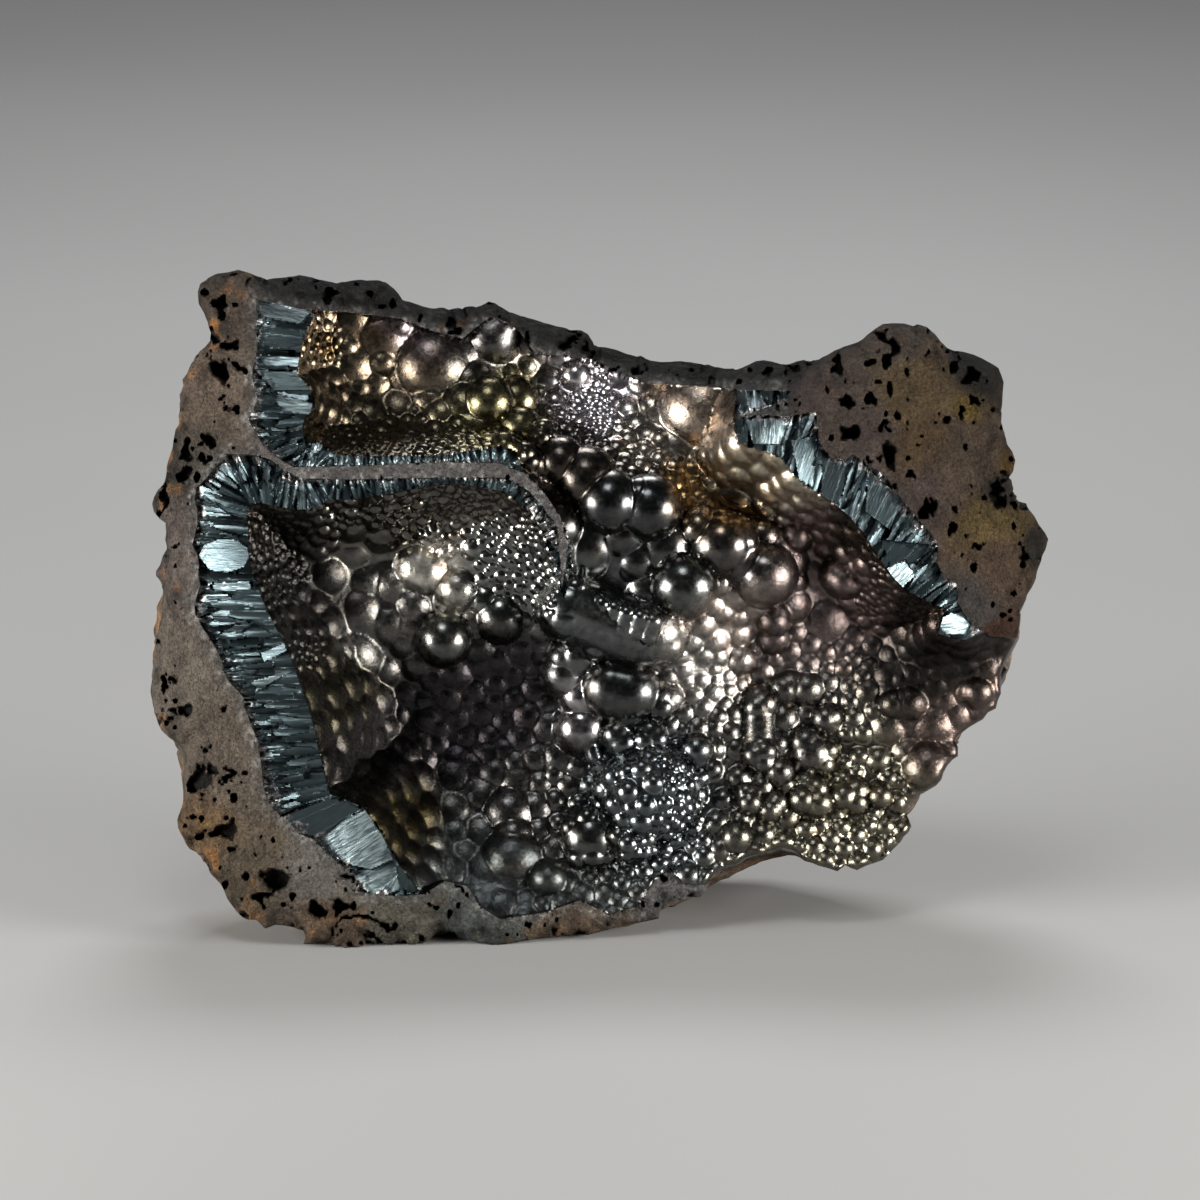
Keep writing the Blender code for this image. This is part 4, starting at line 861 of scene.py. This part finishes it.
def face_relief(p, q):
    """Depth of the whole face that the viewer sees."""
    outline = signed_distance(p, q, EDGE)
    crust = signed_distance(p, q, CRUST)
    hollow = signed_distance(p, q, HOLLOW)
    rim = bent_plate(p, q, RIM)
    in_band = (crust > -BAND_MARGIN) & (hollow < BAND_MARGIN)
    band = rim.copy()
    band[in_band] += band_relief(p[in_band], q[in_band])
    skin = SMALL.stamp(p, q, bare_bowl(p, q))
    rock = rim + lumps(p, q, 0, ROCK_GRAIN) + creases(p, q, ROCK_GRIT)
    rock += np.clip(1.15 - outline / CRUMBLY_EDGE, 0, 1) * creases(p, q, ROCK_CRUMBS)
    rock += PORE_DEPTH * np.clip((pore_mask(p, q) - 0.5) / 0.4, 0, 1)
    depth = np.where(crust > 0, np.where(hollow > 0, skin, band), rock)
    roll = np.where((crust > 0) & (hollow > 0), SKIN_ROLL, ROCK_ROLL)
    near_edge = np.clip((roll - outline) / roll, 0, 1)
    return depth + roll * (1 - np.sqrt(1 - near_edge ** 2 * EDGE_ROUNDNESS))


def smoothed_ring(values, width):
    total = np.zeros_like(values)
    for shift in range(-width, width + 1):
        total += np.roll(values, shift)
    return total / (2 * width + 1)


def side_profile(radius, reach, squareness):
    """Shares of radius and depth at even steps along a rounded back profile."""
    turn = np.linspace(0, math.pi / 2, 600)
    inward = np.cos(turn) ** (2 / squareness)
    backward = np.sin(turn) ** (2 / squareness)
    length = np.append(0, np.cumsum(np.hypot(np.diff(inward) * radius, np.diff(backward) * reach)))
    stops = np.linspace(0, length[-1], BACK_RINGS + 1)[:-1]
    return np.interp(stops, length, inward), np.interp(stops, length, backward)


def pit_field(p, q, depth):
    """How deep in a pit of the sides or the back a point lies, alike along each line from the middle."""
    centre = plane_point(*OUTLINE_CENTRE)
    arms = np.stack([p - centre[0], q - centre[1], depth - MIDDLE_DEPTH])
    x, y, z = arms / np.linalg.norm(arms, axis=0) * PIT_SPHERE
    large = grain(x, y, z, 4.5 * MM, 71) + 0.5 * grain(x, y, z, 1.8 * MM, 72)
    small = grain(x, y, z, 2.2 * MM, 73) + 0.4 * grain(x, y, z, 1.2 * MM, 75)
    crowd = 0.3 * grain(x, y, z, 16 * MM, 74)
    crowd -= np.clip(1.5 - np.hypot(arms[0], arms[1]) / PITLESS_MIDDLE, 0, 1)
    return np.clip((np.maximum(large, small - 0.1) + crowd - PIT_THRESHOLD) / 0.3, 0, 1)


def grown_from(start):
    """For each ring of the sides and the back how far a change has come in, 0 to 1."""
    return np.clip(np.arange(BACK_RINGS) / BACK_RINGS / start, 0, 1)


def roughened(rings, centre):
    """Give the sides and the back broken flats, lumps and grit."""
    middle = np.array([centre[0], centre[1], MIDDLE_DEPTH])
    arms = rings - middle
    grown = grown_from(ROUGH_START)[:, None, None]
    factor = np.ones(rings.shape[:2])
    for normal, distance in FLATS:
        normal = np.array(normal) / np.linalg.norm(normal)
        factor = np.minimum(factor, distance * MM / np.maximum(arms @ normal, distance * MM))
    arms = arms * (1 + (factor[:, :, None] - 1) * grown)
    place = middle + arms
    x, y, z = place[:, :, 0], place[:, :, 1], place[:, :, 2]
    bump = lumps(x, y, z, SIDE_GRAIN) - pit_field(x, y, z) * SIDE_PIT_DEPTH
    bump -= np.clip(grain(x, y, z, 4 * MM, 14) - 0.45, 0, 1) * SIDE_DENT_DEPTH
    unit = arms / np.linalg.norm(arms, axis=2)[:, :, None]
    return place + unit * bump[:, :, None] * grown


def back_rings(ring, ring_depth):
    """Rings of (p, q, depth) from the outline round the sides to the back."""
    centre = plane_point(*OUTLINE_CENTRE)
    arms = ring - centre
    radius = np.hypot(arms[:, 0], arms[:, 1])
    direction = arms / radius[:, None]
    smooth_radius = smoothed_ring(radius, OUTLINE_SMOOTHING)
    rings = np.zeros((BACK_RINGS, len(ring), 3))
    blend = grown_from(SMOOTH_START)
    for i in range(len(ring)):
        downward = 0.5 - 0.5 * direction[i, 1]
        squareness = SQUARENESS_TOP + SQUARENESS_BELOW * downward ** 2
        inward, backward = side_profile(radius[i], BACK_DEPTH_LOW, squareness)
        reach = (radius[i] * (1 - blend) + smooth_radius[i] * blend) * inward
        q = centre[1] + direction[i, 1] * reach
        back = BACK_DEPTH_LOW + (BACK_DEPTH_HIGH - BACK_DEPTH_LOW) * q / HEIGHT
        rings[:, i, 0] = centre[0] + direction[i, 0] * reach
        rings[:, i, 1] = q
        rings[:, i, 2] = ring_depth[i] + (back - ring_depth[i]) * backward
    return roughened(rings, centre)


def to_world(rows):
    p, q, depth = np.asarray(rows).T
    y = q * math.sin(LEAN) + depth * math.cos(LEAN) - STANDING_POINT
    z = q * math.cos(LEAN) - depth * math.sin(LEAN)
    return np.column_stack([p, y, z])


def to_plane(world):
    """(p, q, depth) of world points."""
    x, y, z = np.asarray(world).T
    y = y + STANDING_POINT
    return x, y * math.sin(LEAN) + z * math.cos(LEAN), y * math.cos(LEAN) - z * math.sin(LEAN)


def grid_points(step):
    """A net of points over the outline's box, each second row set off by half a step."""
    low = EDGE.min(axis=0)
    high = EDGE.max(axis=0)
    p, q = np.meshgrid(np.arange(low[0], high[0], step), np.arange(low[1], high[1], step))
    p = p.copy()
    p[1::2] += step / 2
    return p.ravel(), q.ravel()


def bubble_outlines():
    """Points just inside and just outside the outline of each large bubble and sausage."""
    groups = []
    for start, end, radii, _ in BIG.rows:
        run = end - start
        reach = np.linalg.norm(run)
        heading = math.atan2(run[1], run[0])
        for share in OUTLINE_SHARES:
            count = max(12, int(2 * math.pi * radii[0] * share / (0.9 * FINE)))
            turn = np.linspace(0, 2 * math.pi, count, endpoint=False)
            front = np.cos(turn - heading) > 0
            centre = np.where(front[:, None], end, start)
            size = np.where(front, radii[1], radii[0]) * share
            groups.append(centre + np.column_stack([np.cos(turn), np.sin(turn)]) * size[:, None])
            if reach > 0:
                side = np.array([-run[1], run[0]]) / reach
                steps = np.linspace(0, 1, max(2, int(reach / FINE)))[:, None]
                widths = (radii[0] + (radii[1] - radii[0]) * steps) * share
                groups.append(start + run * steps + side * widths)
                groups.append(start + run * steps - side * widths)
    return groups


def thinned(points, cell, shift):
    """The first point of each cell of a square net."""
    keys = np.floor(points / cell + shift).astype(np.int64)
    _, first = np.unique(keys[:, 0] * 100003 + keys[:, 1], return_index=True)
    return points[np.sort(first)]


def face_points():
    """Sample points of the face: dense where the cells are small and in the band."""
    groups = bubble_outlines()
    for edge in (CRUST, HOLLOW):
        groups.append(spaced_ring(edge, 0.8 * FINE))
    for wanted, step in enumerate((FINE, MIDDLE, COARSE)):
        p, q = grid_points(step)
        size = soft_spots(p, q, CELL_SPOTS, CELL_SPOT_SEED)[:, 0]
        level = np.searchsorted(CELL_LEVELS, size, side='right')
        level = np.where(signed_distance(p, q, HOLLOW) < 0, 0, level)
        level = np.where(signed_distance(p, q, CRUST) < 0, 1, level)
        groups.append(np.column_stack([p, q])[level == wanted])
    points = thinned(np.vstack(groups), 0.6 * FINE, 0)
    for shift in ((0.5, 0.5), (0.5, 0), (0, 0.5)):
        points = thinned(points, 0.25 * FINE, shift)
    return points[signed_distance(points[:, 0], points[:, 1], EDGE) > 0.35 * RING_STEP]


def triangulate(ring, inner):
    points = [Vector(row) for row in np.vstack([ring, inner])]
    edges = [(i, (i + 1) % len(ring)) for i in range(len(ring))]
    corners, _, faces, *_ = delaunay_2d_cdt(points, edges, [], 1, 1e-9)
    if len(corners) != len(points):
        raise ValueError("the outline crosses itself: %d points, %d corners" % (len(points), len(corners)))
    return [tuple(face) for face in faces]


def grid_inside(polygon, step, margin):
    low = polygon.min(axis=0)
    high = polygon.max(axis=0)
    p, q = np.meshgrid(np.arange(low[0], high[0], step), np.arange(low[1], high[1], step))
    keep = signed_distance(p, q, polygon) > margin
    return np.column_stack([p[keep], q[keep]])


def make_object(name, points, faces):
    mesh = bpy.data.meshes.new(name)
    mesh.from_pydata([tuple(row) for row in points], [], faces)
    body = bmesh.new()
    body.from_mesh(mesh)
    bmesh.ops.triangulate(body, faces=body.faces)
    bmesh.ops.recalc_face_normals(body, faces=body.faces)
    body.to_mesh(mesh)
    body.free()
    obj = bpy.data.objects.new(name, mesh)
    bpy.context.scene.collection.objects.link(obj)
    return obj


def whole_piece():
    """The closed, finely meshed body of the whole piece, before it is parted."""
    ring = spaced_ring(EDGE, RING_STEP)
    inner = face_points()
    front = np.vstack([ring, inner])
    depth = face_relief(front[:, 0], front[:, 1])
    front = np.column_stack([front, depth])
    faces = triangulate(ring, inner)
    rings = back_rings(ring, front[:len(ring), 2])
    count = len(ring)
    first = len(front)
    rows = [list(range(count))]
    for k in range(1, BACK_RINGS):
        rows.append(list(range(first + (k - 1) * count, first + k * count)))
    points = np.vstack([front] + [rings[k] for k in range(1, BACK_RINGS)])
    for near, far in zip(rows, rows[1:]):
        for i in range(count):
            j = (i + 1) % count
            faces.append((near[i], near[j], far[j], far[i]))
    pole = len(points)
    points = np.vstack([points, rings[-1].mean(axis=0)])
    for i in range(count):
        faces.append((rows[-1][i], rows[-1][(i + 1) % count], pole))
    return make_object("whole_piece", to_world(points), faces)


def closed_block(name, faces, count, layers):
    """A closed block of layers: faces fill the first and the last, and walls join rings of count points."""
    starts = np.cumsum([0] + [len(layer) for layer in layers[:-1]]).tolist()
    all_faces = list(faces)
    all_faces += [tuple(index + starts[-1] for index in reversed(face)) for face in faces]
    for i in range(count):
        j = (i + 1) % count
        for near, far in zip(starts, starts[1:]):
            all_faces.append((near + i, near + j, far + i))
            all_faces.append((near + j, far + j, far + i))
    return make_object(name, to_world(np.vstack(layers)), all_faces)


def crust_block():
    """A closed block that holds the crust: its edge upright, its back a tapered bowl."""
    inner = grid_inside(CRUST, CUTTER_GRID, 0.3 * CUTTER_GRID)
    count = len(CRUST)
    sheet = np.vstack([CRUST, inner])
    rim = bent_plate(CRUST[:, 0], CRUST[:, 1], RIM)
    floor_edge = bent_plate(CRUST[:, 0], CRUST[:, 1], FLOOR)
    turn = rim + np.clip(floor_edge - rim, 0, CRUST_EDGE_FALL) + CRUST_EDGE_THICKNESS
    centre = plane_point(*CRUST_CENTRE)
    back = centre + (sheet - centre) * CRUST_TAPER
    floor = bent_plate(back[:, 0], back[:, 1], FLOOR) + CRUST_THICKNESS
    floor[:count] = np.maximum(floor[:count], turn + CRUST_BACK_STEP)
    front = np.column_stack([sheet, np.full(len(sheet), BLOCK_FRONT)])
    layers = [front, np.column_stack([CRUST, turn]), np.column_stack([back, floor])]
    return closed_block("crust_block", triangulate(CRUST, inner), count, layers)


def hollow_block():
    """An upright block over the hollow: what it holds of the crust is skin, the rest fibres."""
    layers = [np.column_stack([HOLLOW, np.full(len(HOLLOW), depth)]) for depth in HOLLOW_BLOCK_DEPTHS]
    return closed_block("hollow_block", triangulate(HOLLOW, np.zeros((0, 2))), len(HOLLOW), layers)


def floor_block():
    """A box below the flat cut that the piece stands on."""
    corners = [(x, y, z) for z in (-CUT_DEPTH, 0.0)
               for y in (-CUT_REACH, CUT_REACH) for x in (-CUT_REACH, CUT_REACH)]
    faces = [(0, 2, 3, 1), (4, 5, 7, 6), (0, 1, 5, 4), (2, 6, 7, 3), (0, 4, 6, 2), (1, 3, 7, 5)]
    return make_object("floor_block", corners, faces)


def cut_copy(source, name, cuts):
    """A copy of the whole piece with cuts made and applied."""
    obj = bpy.data.objects.new(name, source.data.copy())
    bpy.context.scene.collection.objects.link(obj)
    for cutter, operation in cuts:
        cut = obj.modifiers.new(cutter.name, 'BOOLEAN')
        cut.operation = operation
        cut.solver = 'MANIFOLD'
        cut.object = cutter
    evaluated = obj.evaluated_get(bpy.context.evaluated_depsgraph_get())
    mesh = bpy.data.meshes.new_from_object(evaluated)
    obj.modifiers.clear()
    obj.data = mesh
    mesh.name = name
    print(name, len(mesh.vertices), "points", len(mesh.polygons), "faces")
    return obj


def layer(mesh, name, values):
    """Numbers or colours for the points of a mesh, which its material reads by name."""
    values = np.asarray(values, dtype=np.float32)
    kind, field = ('FLOAT', "value") if values.ndim == 1 else ('FLOAT_VECTOR', "vector")
    mesh.attributes.new(name, kind, 'POINT').data.foreach_set(field, values.ravel())


def mesh_points(mesh):
    values = np.zeros(len(mesh.vertices) * 3, dtype=np.float32)
    mesh.vertices.foreach_get("co", values)
    return values.reshape(-1, 3).astype(float)


class Shader:
    """Short helpers for building a node material."""

    def __init__(self, name):
        self.material = bpy.data.materials.new(name)
        self.material.use_nodes = True
        self.nodes = self.material.node_tree.nodes
        self.out = self.nodes["Principled BSDF"]
        self.place = self.nodes.new("ShaderNodeTexCoord").outputs["Object"]

    def put(self, socket, value):
        if isinstance(value, bpy.types.NodeSocket):
            self.material.node_tree.links.new(value, socket)
        else:
            socket.default_value = value

    def node(self, kind, output, inputs, **settings):
        """A new node with its settings and inputs made, as the socket that comes out of it."""
        node = self.nodes.new("ShaderNode" + kind)
        for name, value in settings.items():
            setattr(node, name, value)
        for socket, value in inputs.items():
            self.put(node.inputs[socket], value)
        return node.outputs[output]

    def attribute(self, name, output="Fac"):
        return self.node("Attribute", output, {}, attribute_name=name)

    def math(self, operation, a, b, clamp=False):
        return self.node("Math", 0, {0: a, 1: b}, operation=operation, use_clamp=clamp)

    def noise(self, scale, detail=4.0, roughness=0.55, vector=None):
        inputs = {"Scale": scale, "Detail": detail, "Roughness": roughness}
        return self.node("TexNoise", "Fac", {"Vector": vector or self.place, **inputs})

    def cells(self, scale):
        return self.node("TexVoronoi", "Distance", {"Vector": self.place, "Scale": scale})

    def span(self, value, low, high, to_low=0.0, to_high=1.0):
        inputs = {"Value": value, "From Min": low, "From Max": high, "To Min": to_low, "To Max": to_high}
        return self.node("MapRange", "Result", inputs)

    def mix(self, share, a, b, blend='MIX'):
        colours = [value if isinstance(value, bpy.types.NodeSocket) else (*value, 1.0) for value in (a, b)]
        inputs = {0: share, 6: colours[0], 7: colours[1]}
        return self.node("Mix", 2, inputs, data_type='RGBA', blend_type=blend)

    def tinted(self, colour, share, low, high):
        """A colour multiplied by one that goes from low to high."""
        return self.mix(1.0, colour, self.mix(share, low, high), 'MULTIPLY')

    def bump(self, height, strength, distance):
        return self.node("Bump", "Normal", {"Height": height, "Strength": strength, "Distance": distance})

    def set(self, **values):
        for name, value in values.items():
            self.put(self.out.inputs[name.replace("_", " ")], value)


def skin_material():
    """The bubbly skin: dark, metallic and glossy, with tarnish colours and a few pale spots of painted
    highlight.
    """
    s = Shader("botryoidal_skin")
    gloss = s.attribute("gloss")
    cloud = s.span(s.noise(900, 5, 0.6), 0.35, 0.7)
    colour = s.tinted(s.attribute("tint", "Color"), cloud, (0.55, 0.53, 0.55), (1.15, 1.12, 1.08))
    film = s.span(s.noise(260, 3, 0.5), 0.55, 0.8, 0.0, 0.5)
    colour = s.mix(film, colour, s.mix(1.0, colour, (1.3, 0.95, 0.75), 'MULTIPLY'))
    rough = s.math('ADD', gloss, s.span(s.noise(1500, 3), 0.3, 0.7, -0.05, 0.08), clamp=True)
    wrinkle = s.math('MULTIPLY', s.noise(1300, 5, 0.6), s.span(gloss, 0.2, 0.28, 0.15, 1.0))
    s.set(Base_Color=colour, Roughness=rough, Metallic=1.0, Normal=s.bump(wrinkle, 0.5, 0.2 * MM))
    return s.material


def fibre_material():
    """Broken fibre bundles: steel blue, silky along the fibres, crumbly grey at their feet, and pale silver
    where the shine is high, a silvery tone with painted highlight.
    """
    s = Shader("silky_fibres")
    streak = s.noise(0.55, 5, 0.6, s.attribute("fibre", "Vector"))
    facet = s.span(s.attribute("facet"), 0.0, 1.0, 0.0, 0.7)
    level = s.math('ADD', s.span(streak, 0.3, 0.7, 0.0, 0.3), facet, clamp=True)
    colour = s.mix(s.span(level, 0.15, 0.6), DARK_FIBRE, STEEL_FIBRE)
    # pale silver where the shine is high: silvery tone and painted highlight
    colour = s.mix(s.span(level, 0.72, 0.97), colour, SILVER_FIBRE_AND_HIGHLIGHT)
    foot = s.math('ADD', s.attribute("along"), s.span(s.noise(800, 4, 0.65), 0.3, 0.7, -0.16, 0.16))
    crumbs = s.mix(s.span(s.noise(2000, 3, 0.7), 0.42, 0.62), (0.055, 0.052, 0.050), (0.30, 0.30, 0.30))
    colour = s.mix(s.span(foot, 0.15, 0.04), colour, crumbs)
    rough = s.span(streak, 0.3, 0.7, 0.40, 0.28)
    s.set(Base_Color=colour, Roughness=rough, Metallic=0.9, Normal=s.bump(streak, 0.35, 0.2 * MM))
    return s.material


def matrix_material():
    """Porous limonite: matte brown-grey with ochre stains and painted glints, and painted shade: its pores
    and small pits are painted near black.
    """
    s = Shader("porous_limonite")
    cloud = s.span(s.noise(350, 6, 0.62), 0.35, 0.68)
    colour = s.tinted(s.attribute("stains_and_painted_glints", "Color"), cloud, (0.68, 0.66, 0.66), (1.28, 1.24, 1.18))
    grit = s.span(s.noise(2400, 4, 0.75), 0.36, 0.64)
    colour = s.tinted(colour, grit, (0.5, 0.48, 0.47), (1.5, 1.48, 1.45))
    # painted shade: small pits of the stone painted near black
    pit = s.math('MULTIPLY', s.span(s.cells(900), 0.16, 0.06), s.span(s.noise(420, 2), 0.5, 0.62), clamp=True)
    colour = s.mix(pit, colour, (0.012, 0.01, 0.009))
    # painted shade: each pore is painted near black inside
    ragged = s.span(s.noise(1000, 5, 0.65), 0.27, 0.73, -0.46, 0.26)
    pore_shade = s.span(s.math('ADD', s.attribute("pore_shade"), ragged), 0.60, 0.70)
    colour = s.mix(pore_shade, colour, (0.006, 0.005, 0.004))
    height = s.math('SUBTRACT', s.noise(620, 5, 0.72), s.math('MULTIPLY', pit, 0.4))
    s.set(Base_Color=colour, Roughness=0.7, Specular_IOR_Level=0.12, Normal=s.bump(height, 1.0, 1.8 * MM))
    return s.material


def give_material(mesh, material, angle):
    """One material, smooth but for edges sharper than the angle."""
    mesh.materials.clear()
    mesh.materials.append(material)
    mesh.shade_smooth()
    mesh.set_sharp_from_angle(angle=math.radians(angle))


def dress_skin(mesh):
    p, q, _ = to_plane(mesh_points(mesh))
    spots = soft_spots(p, q, TARNISH_AND_PAINTED_HIGHLIGHTS, 60)
    # tint: tarnish colours, with a few pale spots of painted highlight
    layer(mesh, "tint", spots[:, :3])
    layer(mesh, "gloss", spots[:, 3])
    give_material(mesh, skin_material(), 50)


def dress_band(mesh):
    p, q, depth = to_plane(mesh_points(mesh))
    index, along, across = fans_at(p, q)
    _, facet = splinters(p, q)
    rows = np.array(FAN_ROWS)[index]
    width = rows[:, 4] + rows[:, 5]
    length = np.hypot(rows[:, 0] - rows[:, 2], rows[:, 1] - rows[:, 3])
    track = np.column_stack([across * width * 0.5 + index * 37.0, along * length * 0.12, depth / MM])
    fan_shine = np.random.default_rng(12).random(len(FAN_ROWS))
    fan_shine[len(FANS):] += SEPTUM_SHINE
    fan_shine = np.where(in_facets(p, q), FACET_SHINE, fan_shine[index])
    # the facet layer carries the shine: silvery tone and painted highlight
    layer(mesh, "facet", 0.6 * facet + 0.4 * fan_shine)
    layer(mesh, "along", np.clip(along, 0, 1))
    layer(mesh, "fibre", track)
    give_material(mesh, fibre_material(), 24)


def laid_over(under, colour, share):
    """Colours with another laid over them by a share for each point."""
    return under * (1 - share)[:, None] + np.array(colour) * share[:, None]


def side_colour(p, q, depth):
    """Colour of the sides and the back: brown-grey with ochre patches, darker on top."""
    top = np.clip((q - 70 * MM - 0.1 * np.abs(p)) / (12 * MM), 0, 1)[:, None]
    colour = np.array(SIDE_BROWN) * (1 + 0.4 * grain(p, q, depth, 14 * MM, 21)[:, None])
    ochre = np.clip(grain(p, q, depth, 9 * MM, 22) - 0.15, 0, 0.6)
    return laid_over(colour, OCHRE, ochre) * (1 - 0.75 * top)


def dress_matrix(mesh):
    p, q, depth = to_plane(mesh_points(mesh))
    behind = depth - bent_plate(p, q, RIM)
    front = np.clip(1 - (behind - 3 * MM) / (6 * MM), 0, 1)
    stains_and_painted_glints = soft_spots(p, q, STAINS_AND_PORE_SHADE, 80) * front[:, None] + side_colour(p, q, depth) * (1 - front[:, None])
    edge = np.clip(1.1 - signed_distance(p, q, EDGE) / CRUMBLY_EDGE, 0, 1)
    # darker in random patches near the outline
    edge_dark_patches = np.clip(grain(p, q, depth, 1.3 * MM, 68) + 0.25, 0, 1) * edge
    stains_and_painted_glints = stains_and_painted_glints * (1 - 0.75 * edge_dark_patches)[:, None]
    rust = np.clip(grain(p, q, depth, 2.2 * MM, 69) - 0.35, 0, 0.5) * 1.1 * edge * (p < 0)
    stains_and_painted_glints = laid_over(stains_and_painted_glints, RUST, rust)
    beside = np.clip(1 + signed_distance(p, q, CRUST) / SEAM_WIDTH, 0, 1) * (p < SEAM_RIGHT) * front
    # painted glints: the grey seam beside the crust is brightened in small specks
    painted_seam_glint = 0.35 + 1.9 * np.clip(grain(p, q, 0, 0.5 * MM, 70) + 0.3, 0, 1.2) ** 2
    stains_and_painted_glints = laid_over(stains_and_painted_glints, np.array(SEAM_GREY) * painted_seam_glint[:, None], 0.6 * beside)
    line = plane_points(DARK_LINE)
    above = np.clip((q - np.interp(p, line[:, 0], line[:, 1])) / (1.2 * MM), 0, 1)
    above *= np.clip(1 - (behind - 12 * MM) / (12 * MM), 0, 1)
    # painted glints: the near-black top is brightened in small specks
    painted_top_glint = 0.6 + 2.5 * np.clip(grain(p, q, depth, 0.8 * MM, 76) + 0.5, 0, 1.5) ** 3
    stains_and_painted_glints = laid_over(stains_and_painted_glints, np.array(TOP_BLACK) * painted_top_glint[:, None], above)
    # the stone's colours: stains, rust and seam grey, with painted glints on the seam and the black top
    layer(mesh, "stains_and_painted_glints", stains_and_painted_glints)
    # painted shade: the pores of the face and the pits of the sides and back, painted near black by the
    # material
    pore_shade = pore_mask(p, q) * np.clip(1 - (behind - 5 * MM) / (2 * MM), 0, 1)
    layer(mesh, "pore_shade", np.maximum(pore_shade, pit_field(p, q, depth) * (1 - front)))
    give_material(mesh, matrix_material(), 50)


def build_object():
    source = whole_piece()
    block = crust_block()
    hollow = hollow_block()
    floor = floor_block()
    skin = cut_copy(source, "vug_skin", [(block, 'INTERSECT'), (hollow, 'INTERSECT')])
    band = cut_copy(source, "vug_fibres", [(block, 'INTERSECT'), (hollow, 'DIFFERENCE')])
    matrix = cut_copy(source, "vug_matrix", [(block, 'DIFFERENCE'), (floor, 'DIFFERENCE')])
    for helper in (source, block, hollow, floor):
        bpy.data.objects.remove(helper, do_unlink=True)
    dress_skin(skin.data)
    dress_band(band.data)
    dress_matrix(matrix.data)
    rows = ((skin, "goethite_crust", "goethite"), (band, "goethite_crust", "goethite"),
            (matrix, "limonite_matrix", "limonite"))
    for obj, node, slot in rows:
        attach(obj, "root")
        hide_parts(node)


def soft_light(target, name, azimuth, height, distance, size, watts, colour):
    """A round soft light at an angle from the camera's side, looking at the target."""
    lamp = bpy.data.lights.new(name, 'AREA')
    lamp.shape = 'DISK'
    lamp.size = size
    lamp.energy = watts
    lamp.color = colour
    obj = bpy.data.objects.new(name, lamp)
    bpy.context.scene.collection.objects.link(obj)
    turn = math.radians(azimuth)
    obj.location = (target[0] + distance * math.sin(turn), target[1] - distance * math.cos(turn), height)
    obj.rotation_euler = (Vector(target) - obj.location).to_track_quat('-Z', 'Y').to_euler()
    return obj


def build_stage():
    """A pale floor that sweeps up behind the object."""
    profile = [(-SWEEP_REACH, 0.0), (SWEEP_BEND, 0.0)]
    for k in range(1, SWEEP_STEPS + 1):
        turn = math.radians(90 * k / SWEEP_STEPS)
        y = SWEEP_BEND + SWEEP_RADIUS * math.sin(turn)
        profile.append((y, SWEEP_RADIUS - SWEEP_RADIUS * math.cos(turn)))
    profile.append((SWEEP_BEND + SWEEP_RADIUS, SWEEP_REACH))
    points = [(x, y, z) for y, z in profile for x in (-SWEEP_HALF_WIDTH, SWEEP_HALF_WIDTH)]
    faces = [(2 * i, 2 * i + 1, 2 * i + 3, 2 * i + 2) for i in range(len(profile) - 1)]
    sweep = make_object("studio_sweep", points, faces)
    sweep.data.shade_smooth()
    s = Shader("pale_floor")
    tone = s.span(s.noise(3.0, 2), 0.3, 0.7, *FLOOR_TONES)
    s.set(Base_Color=s.mix(tone, (0, 0, 0), (1, 1, 1)), Roughness=0.75)
    sweep.data.materials.append(s.material)


def build_camera():
    """A camera that looks along the leaning plane's depth, with the whole picture in the frame."""
    centre = plane_point(*PICTURE_CENTRE)
    target = to_world([(centre[0], centre[1], CAMERA_TARGET_DEPTH)])[0]
    data = bpy.data.cameras.new("camera")
    data.sensor_width = SENSOR
    data.lens = SENSOR * CAMERA_DISTANCE / (PICTURE_POINTS * POINT)
    camera = bpy.data.objects.new("camera", data)
    bpy.context.scene.collection.objects.link(camera)
    camera.location = Vector(target) + Vector((0, -math.cos(LEAN), math.sin(LEAN))) * CAMERA_DISTANCE
    camera.rotation_euler = (math.pi / 2 - LEAN, 0, 0)
    bpy.context.scene.camera = camera
    return target


def build_light(target):
    for row in LIGHTS:
        soft_light(target, *row)
    soft_light(target, *FLOOR_LIGHT).rotation_euler = (0, 0, 0)
    world = bpy.data.worlds.new("studio")
    world.use_nodes = True
    background = world.node_tree.nodes["Background"]
    background.inputs["Color"].default_value = (0.9, 0.95, 1.0, 1)
    background.inputs["Strength"].default_value = 0.045
    bpy.context.scene.world = world
    bpy.context.scene.view_settings.view_transform = 'Standard'


RIM = depth_points(RIM_DEPTH)
FLOOR = depth_points(FLOOR_DEPTH)
HOLLOW = plane_points(HOLLOW_EDGE)
CRUST = plane_points(CRUST_EDGE)
EDGE = plane_points(OUTLINE)
CELL_SPOTS = [(u, v, reach, (spacing, flatness)) for u, v, reach, spacing, flatness in CELLS]
BIG = big_bubbles()
SMALL = small_cells()
FAN_ROWS = fan_rows()
SPLINTERS = splinter_seeds()
print("fans", len(FAN_ROWS), "splinters", len(SPLINTERS))
build_object()
build_stage()
build_light(build_camera())
